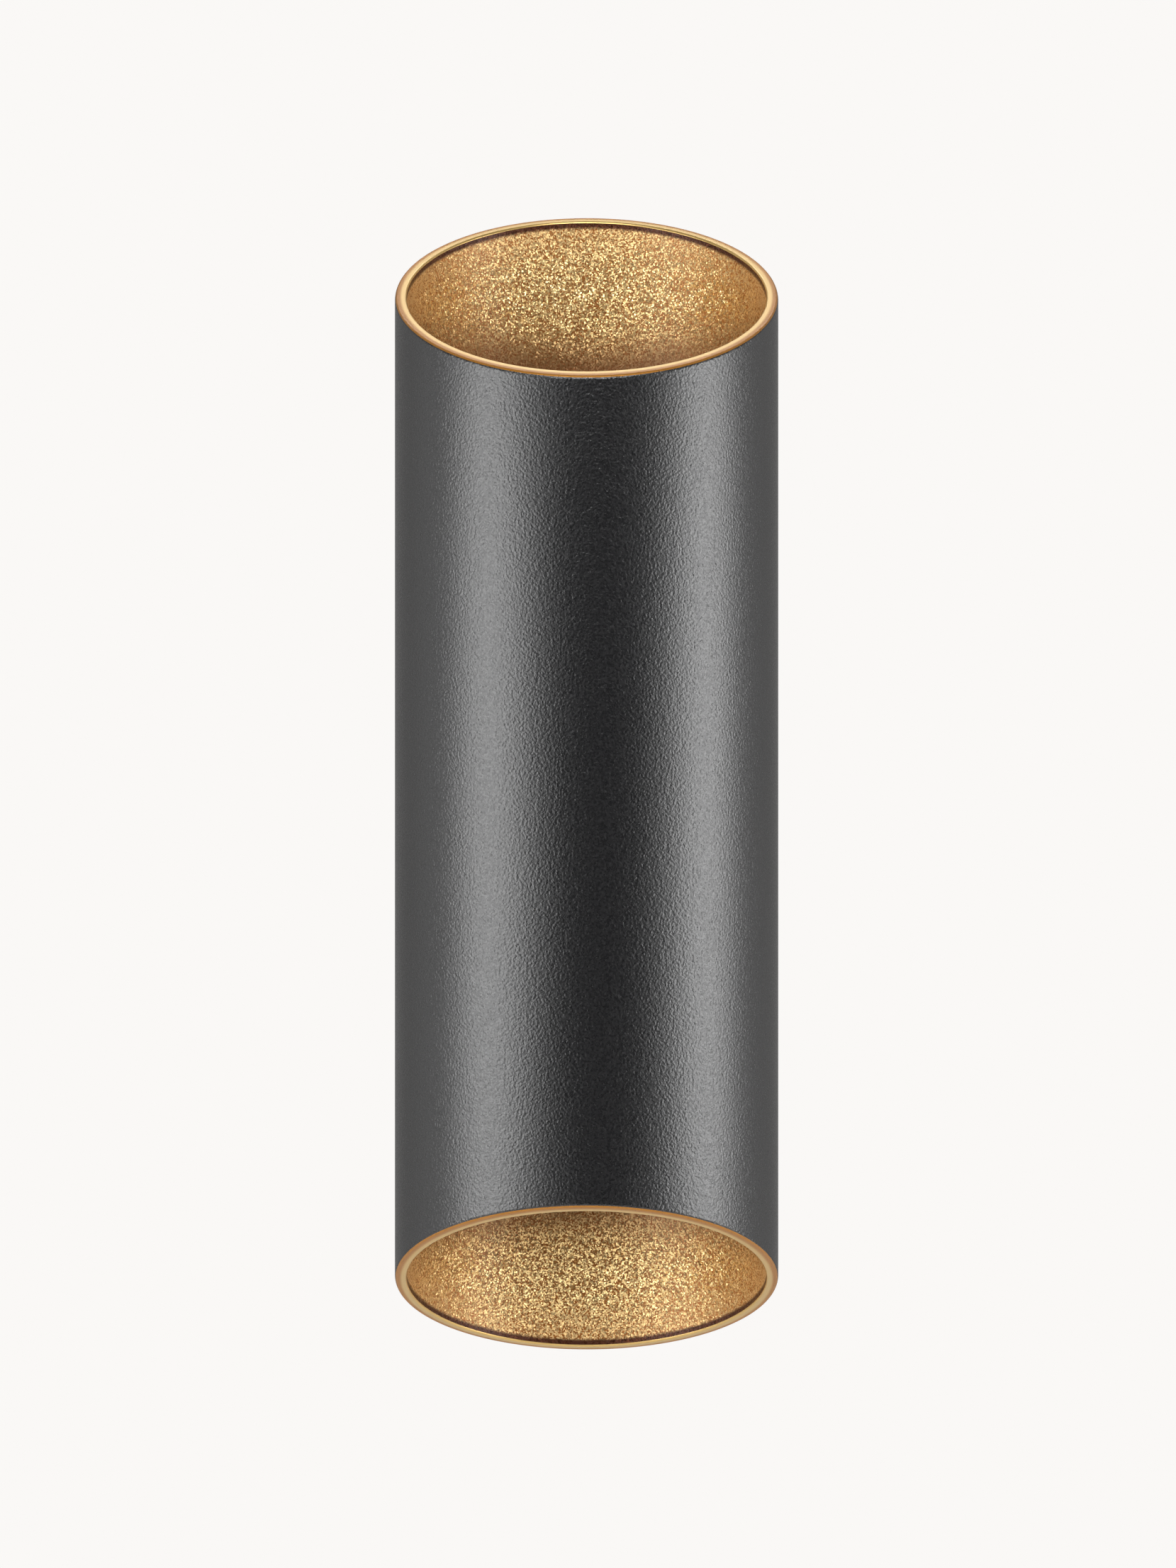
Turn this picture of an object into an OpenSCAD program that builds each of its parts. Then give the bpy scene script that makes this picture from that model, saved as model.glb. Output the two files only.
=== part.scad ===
// Outdoor up-and-down wall lamp: a mitred aluminium tube on a saddle-shaped wall box,
// with a chassis inside that carries two twist-lock reflector lamps behind glass covers.
// The wall is the plane y = 0, the room is towards -Y, and Z is up.

/* [Housing tube] */
// Outer diameter of the housing tube
tube_d = 100; // [97:1:120]
// Wall thickness of the tube
tube_wall = 3; // [2:0.5:4]
// Height of the tube along its back, tip to tip
tube_h = 320; // [260:1:400]
// Height of the tube along its front, tip to tip
tube_front_h = 200; // [190:1:260]
// Diameter of the drain hole just above each glass cover
drain_d = 5; // [3:0.5:8]

/* [Wall box] */
// Distance between the wall and the back of the tube
wall_gap = 30; // [28:1:50]
// Width of the wall box
box_w = 60; // [56:1:80]
// Height of the wall box
box_h = 120; // [112:1:170]
// Wall thickness of the wall box
box_wall = 3; // [2:0.5:4]
// Corner radius of the wall box
box_corner_r = 10; // [6:1:14]
// Thickness of the foam seal between the wall box and the wall
wall_seal_t = 2; // [1:0.5:3]
// Thickness of the rubber pad between the wall box and the tube
saddle_pad_t = 1; // [0.5:0.5:2]
// Distance between the two bolts that hold the tube to the wall box
saddle_bolt_spacing = 84; // [80:1:92]
// Thread diameter of those bolts
saddle_bolt_d = 5; // [4:1:6]
// Thread length of those bolts inside their bosses
saddle_bolt_grip = 10; // [8:1:12]

/* [Wall bracket] */
// Thickness of the steel bracket
bracket_t = 2; // [1.5:0.5:3]
// Height of the bracket's upright strap
bracket_h = 104; // [96:1:110]
// Width of the bracket's upright strap
bracket_strap_w = 30; // [26:1:36]
// Height of the bracket's cross arm and its two side ears
bracket_arm_h = 16; // [12:1:20]
// Depth of the side ears, from the wall
bracket_ear_depth = 16; // [14:1:20]
// Distance between the two slots for the wall screws
wall_slot_spacing = 70; // [66:1:82]
// Width of the slots for the wall screws
wall_slot_w = 5; // [4:0.5:6]
// End-to-end length of the slots for the wall screws
wall_slot_l = 14; // [8:1:18]
// Diameter of the hole for the supply cable
supply_hole_d = 20; // [14:1:22]
// Thread diameter of the two screws in the sides of the wall box
side_screw_d = 4; // [3:1:5]
// Distance of those screws from the wall
side_screw_depth = 10; // [8:1:11]

/* [Chassis] */
// Thickness of the chassis sheet
chassis_t = 2; // [1.5:0.5:2.5]
// Width of the curved spine
spine_w = 30; // [26:1:36]
// Clear gap between the two shelves
shelf_gap = 24; // [22:1:28]
// Length of spine above and below the bolts
spine_overhang = 9; // [7:1:14]
// Width across flats of the four hexagonal pillars
pillar_af = 5.5; // [5:0.5:7]
// Gap between a lamp's rim and the pillars beside it
pillar_gap = 3; // [1:0.5:3]
// Thread diameter of the small screws
small_screw_d = 3; // [2.5:0.5:3.5]

/* [Lamp holder] */
// Diameter of the ceramic lamp holder
holder_d = 30; // [28:1:36]
// Height of the ceramic lamp holder
holder_h = 18; // [16:1:24]
// Distance between the holder's two fixing screws
holder_screw_spacing = 20; // [19:0.5:21]
// Distance between the two pins of a lamp
pin_spacing = 10; // [9.5:0.5:10]
// Diameter of a pin's head
pin_head_d = 4.9; // [4.5:0.1:5.1]
// Diameter of a pin's neck
pin_neck_d = 3; // [2.5:0.1:3.4]
// Angle that a lamp twists between its locked and its free place
twist_angle = 45; // [40:1:48]
// Thickness of the ceramic lip that the pins lock under
lip_t = 3; // [2:0.5:4]

/* [Lamp] */
// Diameter of the lamp's face
lamp_d = 50; // [46:1:51]
// Length of the lamp, from the holder to its face
lamp_len = 48; // [44:1:56]
// Diameter of the lamp's foot
lamp_foot_d = 27; // [24:1:30]
// Diameter of the lamp's lens
lens_d = 42; // [36:1:43]
// Number of cooling flutes round the lamp
flute_count = 18; // [8:1:24]

/* [Glass cover] */
// Thickness of the cover's floor
cover_floor_t = 3; // [2:0.5:4]
// Width of the cover's rim, which the screws go into
cover_rim_w = 6; // [5:0.5:6.5]
// Thickness of the glass
glass_t = 4; // [3:0.5:6]
// Width of the flat seal under the glass
glass_seal_w = 3.5; // [2.5:0.5:3.5]
// Thickness of the flat seal under the glass
glass_seal_t = 2; // [1:0.5:3]
// Thickness of the clamping ring over the glass
ring_t = 2.5; // [2:0.5:4]
// Width of the clamping ring that laps over the glass
ring_lap = 5; // [3:0.5:8]
// Number of screws in the clamping ring
ring_screw_count = 3; // [3:1:6]
// Thickness of the round sealing ring between the cover and the tube
seal_ring_d = 2; // [1.5:0.5:2.5]

/* [Wiring] */
// Diameter of an insulated wire
wire_d = 2; // [1.6:0.1:2.2]
// Diameter of the grommet's bore
grommet_bore = 7; // [6:0.5:8]
// Wall thickness of the grommet
grommet_wall = 2.5; // [2:0.5:3]
// Lip of the grommet beyond its wall
grommet_lip = 2; // [1.5:0.5:2.5]
// Distance between the poles of the terminal block
pole_pitch = 12; // [11.5:0.5:13]
// Length of the terminal block's barrels
barrel_len = 16; // [14:1:17]
// Outer diameter of the terminal block's brass tubes
clamp_d = 6; // [5.5:0.1:6.4]

/* [Hidden] */
$fn = 96;

// Clearance where two faces seat on each other
seat = 0.05;
// Clearance of a screw in its thread, all round
thread_fit = 0.05;
// Play of a screw or a piece in its hole
hole_fit = 0.3;
// Gap round a piece that moves
run_gap = 0.2;
// Overshoot of a cutting shape past the face that it opens
past = 1;

// Housing tube
tube_r = tube_d / 2;
bore_r = tube_r - tube_wall;
// Angle of the two end cuts, from level
mitre_angle = atan((tube_h - tube_front_h) / 2 / tube_d);
axis_y = -(wall_gap + tube_r);

// Wall box, measured from the tube's axis where it is round
saddle_r = tube_r + saddle_pad_t;
box_front_r = saddle_r + box_wall;
box_floor_y = axis_y + box_front_r;
box_in_w = box_w - 2 * box_wall;
saddle_bolt_z = saddle_bolt_spacing / 2;
boss_end = 2.5;
boss_wall = 3;
boss_d = saddle_bolt_d + 2 * boss_wall;
bolt_tip_y = axis_y + saddle_r + saddle_bolt_grip;
pad_lift = 1;

// Screw heads, as shares of the thread
head_d_share = 1.8;
head_h_share = 0.6;
drive_d_share = 0.65;
flat_drive_h = 1;

// Bracket and its side screws
bracket_fit = 0.5;
bracket_w = box_in_w - 2 * bracket_fit;
bracket_corner_r = 3;
supply_rim = 3;
side_screw_end = 2;

// Chassis
spine_r = bore_r - seat;
shelf_z = shelf_gap / 2;
shelf_top = shelf_z + chassis_t;
spine_half_h = saddle_bolt_z + spine_overhang;
pillar_corner_r = pillar_af / (2 * cos(30));
pillar_r = lamp_d / 2 + pillar_gap + pillar_corner_r;
ear_margin = 1.5;
ear_r = pillar_corner_r + ear_margin;
pillar_grip = 6;
wire_room = 3;
wire_hole_d = pin_spacing + wire_d + wire_room;
small_head_d = head_d_share * small_screw_d;
small_head_h = head_h_share * small_screw_d;
nut_af = 5.5 / 3 * small_screw_d;
nut_h = 0.8 * small_screw_d;
nut_screw_end = 0.5;

// Lamp holder, with heights above the shelf
slot_w = pin_neck_d + 2 * run_gap;
chamber_w = pin_head_d + 2 * run_gap;
chamber_h = 5.2;
chamber_floor = holder_h - lip_t - chamber_h;
pin_head_h = 3;
contact_t = 0.8;
holder_head_depth = 2;
holder_sink = small_head_h + holder_head_depth;
holder_step = 0.8;
wire_channel_d = wire_d + 0.8;
holder_top = shelf_top + holder_h;
pin_r = pin_spacing / 2;

// Lamp, with heights above its foot
lamp_z = holder_top + run_gap;
lamp_face_z = lamp_z + lamp_len;
lens_t = 3;
lens_rise = 0.9;
// Gap between the lamp's rim and the cover, and how far the face lies below the cover's floor
lamp_gap = 0.8;
lamp_rim_h = 8;
foot_h = 10;
flute_w = 1.8;
flute_deep = 1.5;

// Glass cover, stacked upwards from its floor
cover_z = lamp_face_z - cover_floor_t + lamp_gap;
pillar_h = cover_z - shelf_top;
cover_r = bore_r - hole_fit;
cover_in_r = cover_r - cover_rim_w;
glass_r = cover_in_r - hole_fit;
glass_seal_z = cover_z + cover_floor_t;
glass_z = glass_seal_z + glass_seal_t;
ring_z = glass_z + glass_t;
ring_in_r = glass_r - ring_lap;
ring_screw_r = cover_r - cover_rim_w / 2;
ring_screw_d = small_screw_d - 0.5;
ring_screw_grip = 8;
seal_ring_z = cover_z + cover_floor_t + glass_seal_t / 2;
seal_groove = seal_ring_d + 2 * seat - (bore_r - cover_r);
drain_z = ring_z + ring_t + drain_d / 2;

// Wiring
grommet_d = grommet_bore + 2 * grommet_wall;
grommet_lip_d = grommet_d + 2 * grommet_lip;
grommet_lip_t = 1.5;
bundle = wire_d / 2 + 0.15;
// How far a wire reaches into its clamp or lamp holder, and how far it runs straight outside
wire_grip = 4;
wire_lead = 1;
// The length over which a wire bends, and how far the earth wire comes down straight onto its tag
wire_bend = 6;
earth_drop = 10;
// Distance from the tube's axis where the wires of a lamp part
wire_fork = 18;
terminal_gap = 4;
terminal_z = grommet_lip_d / 2 + terminal_gap + barrel_len / 2;
terminal_y = box_floor_y + pad_lift;
barrel_wall = 1;
barrel_d = clamp_d + 2 * (barrel_wall + seat);
barrel_y = terminal_y + barrel_d / 2;
clamp_bore = 2 * wire_d + 0.5;
tower_rise = 3;
tower_h = barrel_d / 2 + tower_rise;
tower_d = 5.2;
clamp_screw_d = 2.5;
fixing_d = 2;
block_base_h = 4;
earth_below = 12;
earth_z = -(grommet_lip_d / 2 + earth_below);
earth_d = 4;
earth_boss_d = 9;
earth_boss_h = 5;
earth_y = box_floor_y + earth_boss_h;
tag_t = 0.8;
sleeve_d = wire_d + 1.4;
sleeve_len = 4;

BLACK = "#2e2f31";
GOLD = "#b98b47";
STEEL = "#b9bcc0";
RUBBER = "#1d1d1e";
CERAMIC = "#ece8df";
BRASS = "#c9a24d";
WHITE = "#efefec";

// Places children on the tube's axis, turned over for the lower half
module on_axis(lower = false) {
    translate([0, axis_y, 0]) rotate([0, lower ? 180 : 0, 0]) children();
}

// Extrudes a profile drawn in X and Z away from the wall, from one depth to another
module from_wall(near, far) {
    translate([0, -near, 0]) rotate([90, 0, 0]) linear_extrude(far - near) children();
}

// Moves children up
module raise(z) {
    translate([0, 0, z]) children();
}

// A round rod along Y, between two values of y
module rod_y(d, y1, y2) {
    translate([0, y1, 0]) rotate([-90, 0, 0]) cylinder(d = d, h = y2 - y1);
}

// A rectangle with round corners, centred
module rounded_rect(w, h, r) {
    square([w - 2 * r, h], center = true);
    square([w, h - 2 * r], center = true);
    for (x = [-1, 1], y = [-1, 1]) translate([x * (w / 2 - r), y * (h / 2 - r)]) circle(r);
}

// A slot with round ends along Y, centred
module slot_2d(w, l) {
    square([w, l - w], center = true);
    for (y = [-1, 1]) translate([0, y * (l - w) / 2]) circle(d = w);
}

// A ring of rectangular section, lying flat on z = 0
module flat_ring(r_in, r_out, h) {
    rotate_extrude() translate([r_in, 0]) square([r_out - r_in, h]);
}

// A round-headed screw with a hexagon socket: its head stands on z = 0 and its shank points down
module screw(d, len) {
    head_d = head_d_share * d;
    head_h = head_h_share * d;
    difference() {
        union() {
            rotate_extrude() polygon([
                [0, 0], [head_d / 2, 0], [head_d / 2, head_h * 0.4],
                [head_d / 2 - head_h * 0.25, head_h * 0.8], [head_d / 2 - head_h * 0.6, head_h], [0, head_h]
            ]);
            raise(-len) cylinder(d = d, h = len + head_h / 2);
        }
        translate([0, 0, head_h * 0.35]) cylinder(d = drive_d_share * d / cos(30), h = head_h, $fn = 6);
    }
}

// A flat-headed screw with a hexagon socket: the top of its head is level with z = 0
module flat_screw(d, len) {
    difference() {
        union() {
            countersink(head_d_share * d / 2, d / 2, 0);
            raise(-len) cylinder(d = d, h = len - seat);
        }
        raise(-flat_drive_h) cylinder(d = drive_d_share * d / cos(30), h = flat_drive_h + past, $fn = 6);
    }
}

// The cone of a flat head, from one radius down to another at 45 degrees, with a straight part above it
module countersink(top_r, bottom_r, above) {
    rotate_extrude() polygon([
        [0, above], [top_r, above], [top_r, -seat], [bottom_r, bottom_r - top_r - seat],
        [0, bottom_r - top_r - seat]
    ]);
}

// Everything above a mitred end: the space that the upper end cut takes away
module mitre_cut() {
    reach = 2 * tube_d;
    translate([0, tube_r, tube_h / 2]) rotate([mitre_angle, 0, 0])
        translate([-reach / 2, -reach, 0]) cube([reach, reach + tube_d, reach]);
}

// The tube between the two end cuts, with the holes in its back
module housing_tube() {
    color(BLACK) on_axis() difference() {
        cylinder(r = tube_r, h = tube_h + 2 * past, center = true);
        cylinder(r = bore_r, h = tube_h + 4 * past, center = true);
        mitre_cut();
        rotate([0, 180, 0]) mitre_cut();
        for (z = [-1, 1]) raise(z * saddle_bolt_z) back_hole(saddle_bolt_d + hole_fit);
        for (z = [-1, 1]) raise(z * drain_z) back_hole(drain_d);
        back_hole(grommet_d + 2 * seat);
    }
}

// A hole through the back of the tube and what is bolted to it
module back_hole(d) {
    rod_y(d, bore_r - chassis_t - past * 3, box_front_r + past * 2);
}

// The wall box's outline, taken in by an amount on every side
module box_outline(inset = 0) {
    rounded_rect(box_w - 2 * inset, box_h - 2 * inset, box_corner_r - inset);
}

// The cast wall box: open towards the wall, with a front that is hollowed to fit the tube
module wall_box() {
    color(BLACK) difference() {
        union() {
            difference() {
                from_wall(wall_seal_t, -axis_y) box_outline();
                on_axis() cylinder(r = saddle_r, h = box_h + 2 * past, center = true);
                difference() {
                    from_wall(-past, -axis_y + past) box_outline(box_wall);
                    on_axis() cylinder(r = box_front_r, h = box_h, center = true);
                }
            }
            box_fittings();
        }
        for (z = [-1, 1]) raise(z * saddle_bolt_z)
            rod_y(saddle_bolt_d + 2 * thread_fit, axis_y + saddle_r - past, bolt_tip_y + past);
        rod_y(grommet_d + 2 * seat, axis_y + saddle_r - past, box_floor_y + past);
        translate([-box_w / 2 - past, -side_screw_depth, 0]) rotate([0, 90, 0])
            cylinder(d = side_screw_d + hole_fit, h = box_w + 2 * past);
        raise(earth_z) rod_y(earth_d + 2 * thread_fit, box_floor_y - 1, earth_y + past);
        for (x = [-1, 1]) translate([x * pole_pitch / 2, 0, terminal_z])
            rod_y(fixing_d + 2 * thread_fit, box_floor_y - 1, terminal_y + past);
    }
}

// What stands on the inside of the wall box's front: bolt bosses, earth boss and terminal pad
module box_fittings() {
    root_r = (saddle_r + box_front_r) / 2;
    pad_root_y = axis_y + saddle_r - box_wall;
    difference() {
        union() {
            for (z = [-1, 1]) raise(z * saddle_bolt_z)
                rod_y(boss_d, axis_y + saddle_r - past, bolt_tip_y + boss_end);
            raise(earth_z) rod_y(earth_boss_d, axis_y + saddle_r, earth_y);
            translate([-1.5 * pole_pitch, pad_root_y, terminal_z - barrel_len / 2])
                cube([3 * pole_pitch, terminal_y - pad_root_y, barrel_len]);
        }
        on_axis() cylinder(r = root_r, h = box_h, center = true);
    }
}

// The rubber pad between the tube and the wall box
module saddle_pad() {
    color(RUBBER) difference() {
        intersection() {
            from_wall(0, -axis_y) box_outline(0.5);
            on_axis() difference() {
                cylinder(r = saddle_r - seat, h = box_h, center = true);
                cylinder(r = tube_r + seat, h = box_h + 2 * past, center = true);
            }
        }
        for (z = [-1, 1]) raise(z * saddle_bolt_z) rod_y(saddle_bolt_d + hole_fit, axis_y, 0);
        rod_y(grommet_d + 2 * seat, axis_y, 0);
    }
}

// The foam frame that seals the wall box's edge to the wall
module wall_seal() {
    color(RUBBER) from_wall(0, wall_seal_t) difference() {
        box_outline();
        box_outline(box_wall);
    }
}

// The steel bracket that is screwed to the wall, with two ears bent forward for the side screws
module wall_bracket() {
    color(STEEL) difference() {
        union() {
            from_wall(0, bracket_t) {
                rounded_rect(bracket_strap_w, bracket_h, bracket_corner_r);
                square([bracket_w, bracket_arm_h], center = true);
                circle(d = supply_hole_d + 2 * supply_rim);
            }
            for (x = [-1, 1]) translate([x * (bracket_w - bracket_t) / 2, 0, 0])
                from_wall(0, bracket_ear_depth) square([bracket_t, bracket_arm_h], center = true);
        }
        rod_y(supply_hole_d, -bracket_t - past, past);
        for (z = [-1, 1]) raise(z * wall_slot_spacing / 2)
            from_wall(-past, bracket_t + past) slot_2d(wall_slot_w, wall_slot_l);
        translate([-box_w / 2, -side_screw_depth, 0]) rotate([0, 90, 0])
            cylinder(d = side_screw_d + 2 * thread_fit, h = box_w);
    }
}

// The two screws that hold the wall box to the bracket's ears
module side_screws() {
    grip = box_wall + bracket_fit + bracket_t + side_screw_end;
    color(STEEL) for (turn = [-1, 1]) translate([turn * box_w / 2, -side_screw_depth, 0])
        rotate([0, turn * 90, 0]) screw(side_screw_d, grip);
}

// The two bolts that clamp chassis, tube, pad and wall box together from inside the tube
module saddle_bolts() {
    head_y = axis_y + sqrt(pow(spine_r - chassis_t, 2) - pow(head_d_share * saddle_bolt_d / 2, 2));
    color(STEEL) for (z = [-1, 1]) translate([0, head_y, z * saddle_bolt_z])
        rotate([90, 0, 0]) screw(saddle_bolt_d, bolt_tip_y - head_y);
}

// The grommet that leads the wires from the wall box into the tube, with a lip inside each
module cable_grommet() {
    inner = bore_r - seat - grommet_lip_t;
    outer = box_front_r + seat + grommet_lip_t;
    color(RUBBER) on_axis() difference() {
        union() {
            rod_y(grommet_d, inner, outer);
            intersection() {
                rod_y(grommet_lip_d, inner, bore_r);
                cylinder(r = bore_r - seat, h = 2 * grommet_lip_d, center = true);
            }
            difference() {
                rod_y(grommet_lip_d, saddle_r, outer);
                cylinder(r = box_front_r + seat, h = 2 * grommet_lip_d, center = true);
            }
        }
        rod_y(grommet_bore, inner - past, outer + past);
    }
}

// The bent sheet that carries both lamp holders: a curved spine with two shelves
module chassis() {
    color(STEEL) on_axis() difference() {
        union() {
            intersection() {
                difference() {
                    cylinder(r = spine_r, h = 2 * spine_half_h, center = true);
                    cylinder(r = spine_r - chassis_t, h = 2 * spine_half_h + 2, center = true);
                }
                translate([-spine_w / 2, 0, -spine_half_h]) cube([spine_w, tube_r, 2 * spine_half_h]);
            }
            for (turn = [0, 180]) rotate([0, turn, 0]) raise(shelf_z) shelf();
        }
        for (z = [-1, 1]) raise(z * saddle_bolt_z) back_hole(saddle_bolt_d + hole_fit);
        back_hole(grommet_lip_d + 2 * hole_fit);
    }
}

// One shelf, lying on z = 0, with the holes for a lamp holder and two pillars
module shelf() {
    linear_extrude(chassis_t) difference() {
        union() {
            circle(d = holder_d + 2);
            intersection() {
                translate([-spine_w / 2, 0]) square([spine_w, tube_r]);
                circle(r = spine_r - chassis_t / 2);
            }
            square([2 * pillar_r, 2 * ear_r], center = true);
            for (x = [-1, 1]) translate([x * pillar_r, 0]) circle(r = ear_r);
        }
        circle(d = wire_hole_d);
        for (y = [-1, 1]) translate([0, y * holder_screw_spacing / 2]) circle(d = small_screw_d + hole_fit);
        for (x = [-1, 1]) translate([x * pillar_r, 0]) circle(d = small_screw_d + hole_fit);
    }
}

// Places children at each of the four pillars, upper pair and lower pair
module each_pillar() {
    for (lower = [false, true]) on_axis(lower) for (x = [-1, 1]) translate([x * pillar_r, 0, 0]) children();
}

// The hexagonal pillars between the shelves and the glass covers
module pillars() {
    color(BRASS) each_pillar() difference() {
        raise(shelf_top) rotate(30) cylinder(r = pillar_corner_r, h = pillar_h, $fn = 6);
        raise(shelf_top - past) cylinder(d = small_screw_d + 2 * thread_fit, h = pillar_h + 2 * past);
    }
}

// The screws that hold the covers down onto the pillars
module pillar_screws() {
    color(STEEL) each_pillar() raise(glass_seal_z - seat) flat_screw(small_screw_d, cover_floor_t + pillar_grip);
}

// The screws that hold the pillars on the shelves
module chassis_screws() {
    color(STEEL) each_pillar() raise(shelf_z) rotate([180, 0, 0])
        screw(small_screw_d, chassis_t + pillar_grip);
}

// The two arcs that the pins travel through an angle, as slots with round ends
module pin_track(w, angle) {
    for (turn = [0, 180]) rotate(turn) {
        difference() {
            circle(r = pin_r + w / 2);
            circle(r = pin_r - w / 2);
            rotate(angle) translate([-holder_d, 0]) square([2 * holder_d, holder_d]);
            translate([-holder_d, -holder_d]) square([2 * holder_d, holder_d]);
        }
        for (a = [0, angle]) rotate(a) translate([pin_r, 0]) circle(d = w);
    }
}

// The ceramic lamp holder, standing on the shelf, with its twist-lock keyholes
module lamp_holder() {
    color(CERAMIC) raise(shelf_top) difference() {
        union() {
            cylinder(d = holder_d, h = holder_h - holder_step);
            cylinder(d = holder_d - 2 * holder_step, h = holder_h);
        }
        raise(holder_h - lip_t - past / 2) linear_extrude(lip_t + past) {
            pin_track(slot_w, twist_angle);
            for (turn = [0, 180]) rotate(turn + twist_angle) translate([pin_r, 0]) circle(d = chamber_w);
        }
        raise(chamber_floor) linear_extrude(chamber_h) pin_track(chamber_w, twist_angle);
        for (x = [-1, 1]) translate([x * pin_r, 0, -past]) cylinder(d = wire_channel_d, h = holder_h - lip_t);
        for (y = [-1, 1]) translate([0, y * holder_screw_spacing / 2, 0]) {
            raise(-past) cylinder(d = small_screw_d + hole_fit, h = holder_h + 2 * past);
            raise(holder_h - holder_sink) cylinder(d = small_head_d + 2 * hole_fit, h = holder_sink + past);
        }
    }
}

// The two brass contacts on the floor of the holder's chambers
module contacts() {
    color(BRASS) raise(shelf_top + chamber_floor) linear_extrude(contact_t)
        pin_track(chamber_w - 2 * hole_fit, twist_angle);
}

// Places children at each of the four fixing screws of the lamp holders
module each_holder_screw() {
    for (lower = [false, true]) on_axis(lower) for (y = [-1, 1])
        translate([0, y * holder_screw_spacing / 2, 0]) children();
}

// The screws that hold the lamp holders on the shelves
module holder_screws() {
    grip = holder_h - holder_sink + chassis_t + nut_h + nut_screw_end;
    color(STEEL) each_holder_screw() translate([0, 0, holder_top - holder_sink]) screw(small_screw_d, grip);
}

// Their nuts, under the shelves
module holder_nuts() {
    color(STEEL) each_holder_screw() translate([0, 0, shelf_z - nut_h]) difference() {
        cylinder(d = nut_af / cos(30), h = nut_h, $fn = 6);
        raise(-past) cylinder(d = small_screw_d + 2 * thread_fit, h = nut_h + 2 * past);
    }
}

// A reflector lamp's body: foot, fluted cone and rim
module lamp_body() {
    rim_r = lamp_d / 2;
    foot_r = lamp_foot_d / 2;
    rim_edge = 0.8;
    lens_seat_r = lens_d / 2 + seat;
    cone_top = lamp_len - lamp_rim_h;
    tilt = atan((rim_r - foot_r) / (cone_top - foot_h));
    cone_len = norm([rim_r - foot_r, cone_top - foot_h]);
    color(WHITE) raise(lamp_z) difference() {
        rotate_extrude() polygon([
            [0, 0], [foot_r, 0], [foot_r, foot_h], [rim_r, cone_top],
            [rim_r, lamp_len - rim_edge], [rim_r - rim_edge, lamp_len],
            [lens_seat_r, lamp_len], [lens_seat_r, lamp_len - lens_t], [0, lamp_len - lens_t]
        ]);
        for (i = [0 : flute_count - 1]) rotate(i * 360 / flute_count) translate([foot_r, 0, foot_h])
            rotate([0, tilt, 0]) translate([-flute_deep, -flute_w / 2, cone_len * 0.1])
                cube([flute_deep * 3, flute_w, cone_len * 0.8]);
    }
}

// The lamp's lens, slightly domed
module lamp_lens() {
    lens_r = lens_d / 2;
    dome_r = (lens_r * lens_r + lens_rise * lens_rise) / (2 * lens_rise);
    steps = 8;
    dome = [for (i = [0 : steps - 1]) let (r = lens_r * (1 - i / steps)) [r, sqrt(dome_r * dome_r - r * r)]];
    flat_top = [0, dome[steps - 1][1]];
    color(WHITE) raise(lamp_face_z - lens_t) rotate_extrude() polygon([
        [0, 0], [lens_r, 0], for (point = [each dome, flat_top]) [point[0], point[1] + lens_t - dome_r]
    ]);
}

// The lamp's two pins: a neck through the slot and a head that locks under the lip
module lamp_pins() {
    neck = lip_t + 2 * run_gap;
    color(BRASS) for (x = [-1, 1]) translate([x * pin_r, 0, lamp_z]) {
        translate([0, 0, -neck]) cylinder(d = pin_neck_d, h = neck);
        translate([0, 0, -neck - pin_head_h]) cylinder(d = pin_head_d, h = pin_head_h);
    }
}

// The cover that closes the tube round the lamp's face, with a rim for the glass
module cover() {
    hole_r = lamp_d / 2 + lamp_gap;
    color(GOLD) difference() {
        rotate_extrude() difference() {
            union() {
                translate([hole_r, cover_z]) square([cover_r - hole_r, cover_floor_t]);
                translate([cover_in_r, cover_z]) square([cover_rim_w, ring_z - cover_z]);
            }
            translate([cover_r - seal_groove, seal_ring_z - seal_ring_d / 2 - seat])
                square([seal_groove + past, seal_ring_d + 2 * seat]);
        }
        for (x = [-1, 1]) translate([x * pillar_r, 0, 0]) {
            raise(cover_z - past) cylinder(d = small_screw_d + hole_fit, h = cover_floor_t + 2 * past);
            raise(glass_seal_z) countersink(small_head_d / 2 + 2 * seat, small_screw_d / 2, past);
        }
        each_ring_screw() raise(-ring_screw_grip)
            cylinder(d = ring_screw_d + 2 * thread_fit, h = ring_screw_grip + past);
    }
}

// Places children at each screw of the clamping ring, at the height of the ring's underside
module each_ring_screw() {
    for (i = [0 : ring_screw_count - 1]) rotate(90 + i * 360 / ring_screw_count)
        translate([ring_screw_r, 0, ring_z]) children();
}

// The round sealing ring in the cover's groove, against the tube
module seal_ring() {
    color(RUBBER) rotate_extrude() translate([bore_r - seat - seal_ring_d / 2, seal_ring_z])
        circle(d = seal_ring_d);
}

// The flat seal between the cover's floor and the glass
module glass_seal() {
    color(RUBBER) raise(glass_seal_z) flat_ring(glass_r - glass_seal_w, glass_r, glass_seal_t);
}

// The glass disc
module glass() {
    color("#dfeeee", 0.4) raise(glass_z) cylinder(r = glass_r, h = glass_t);
}

// The ring that clamps the glass down onto the cover, bevelled towards the light
module clamp_ring() {
    bevel = ring_t * 0.6;
    color(GOLD) difference() {
        raise(ring_z) rotate_extrude() polygon([
            [ring_in_r, 0], [cover_r, 0], [cover_r, ring_t],
            [ring_in_r + bevel, ring_t], [ring_in_r, ring_t - bevel]
        ]);
        each_ring_screw() raise(-past) cylinder(d = ring_screw_d + hole_fit, h = ring_t + 2 * past);
    }
}

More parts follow.
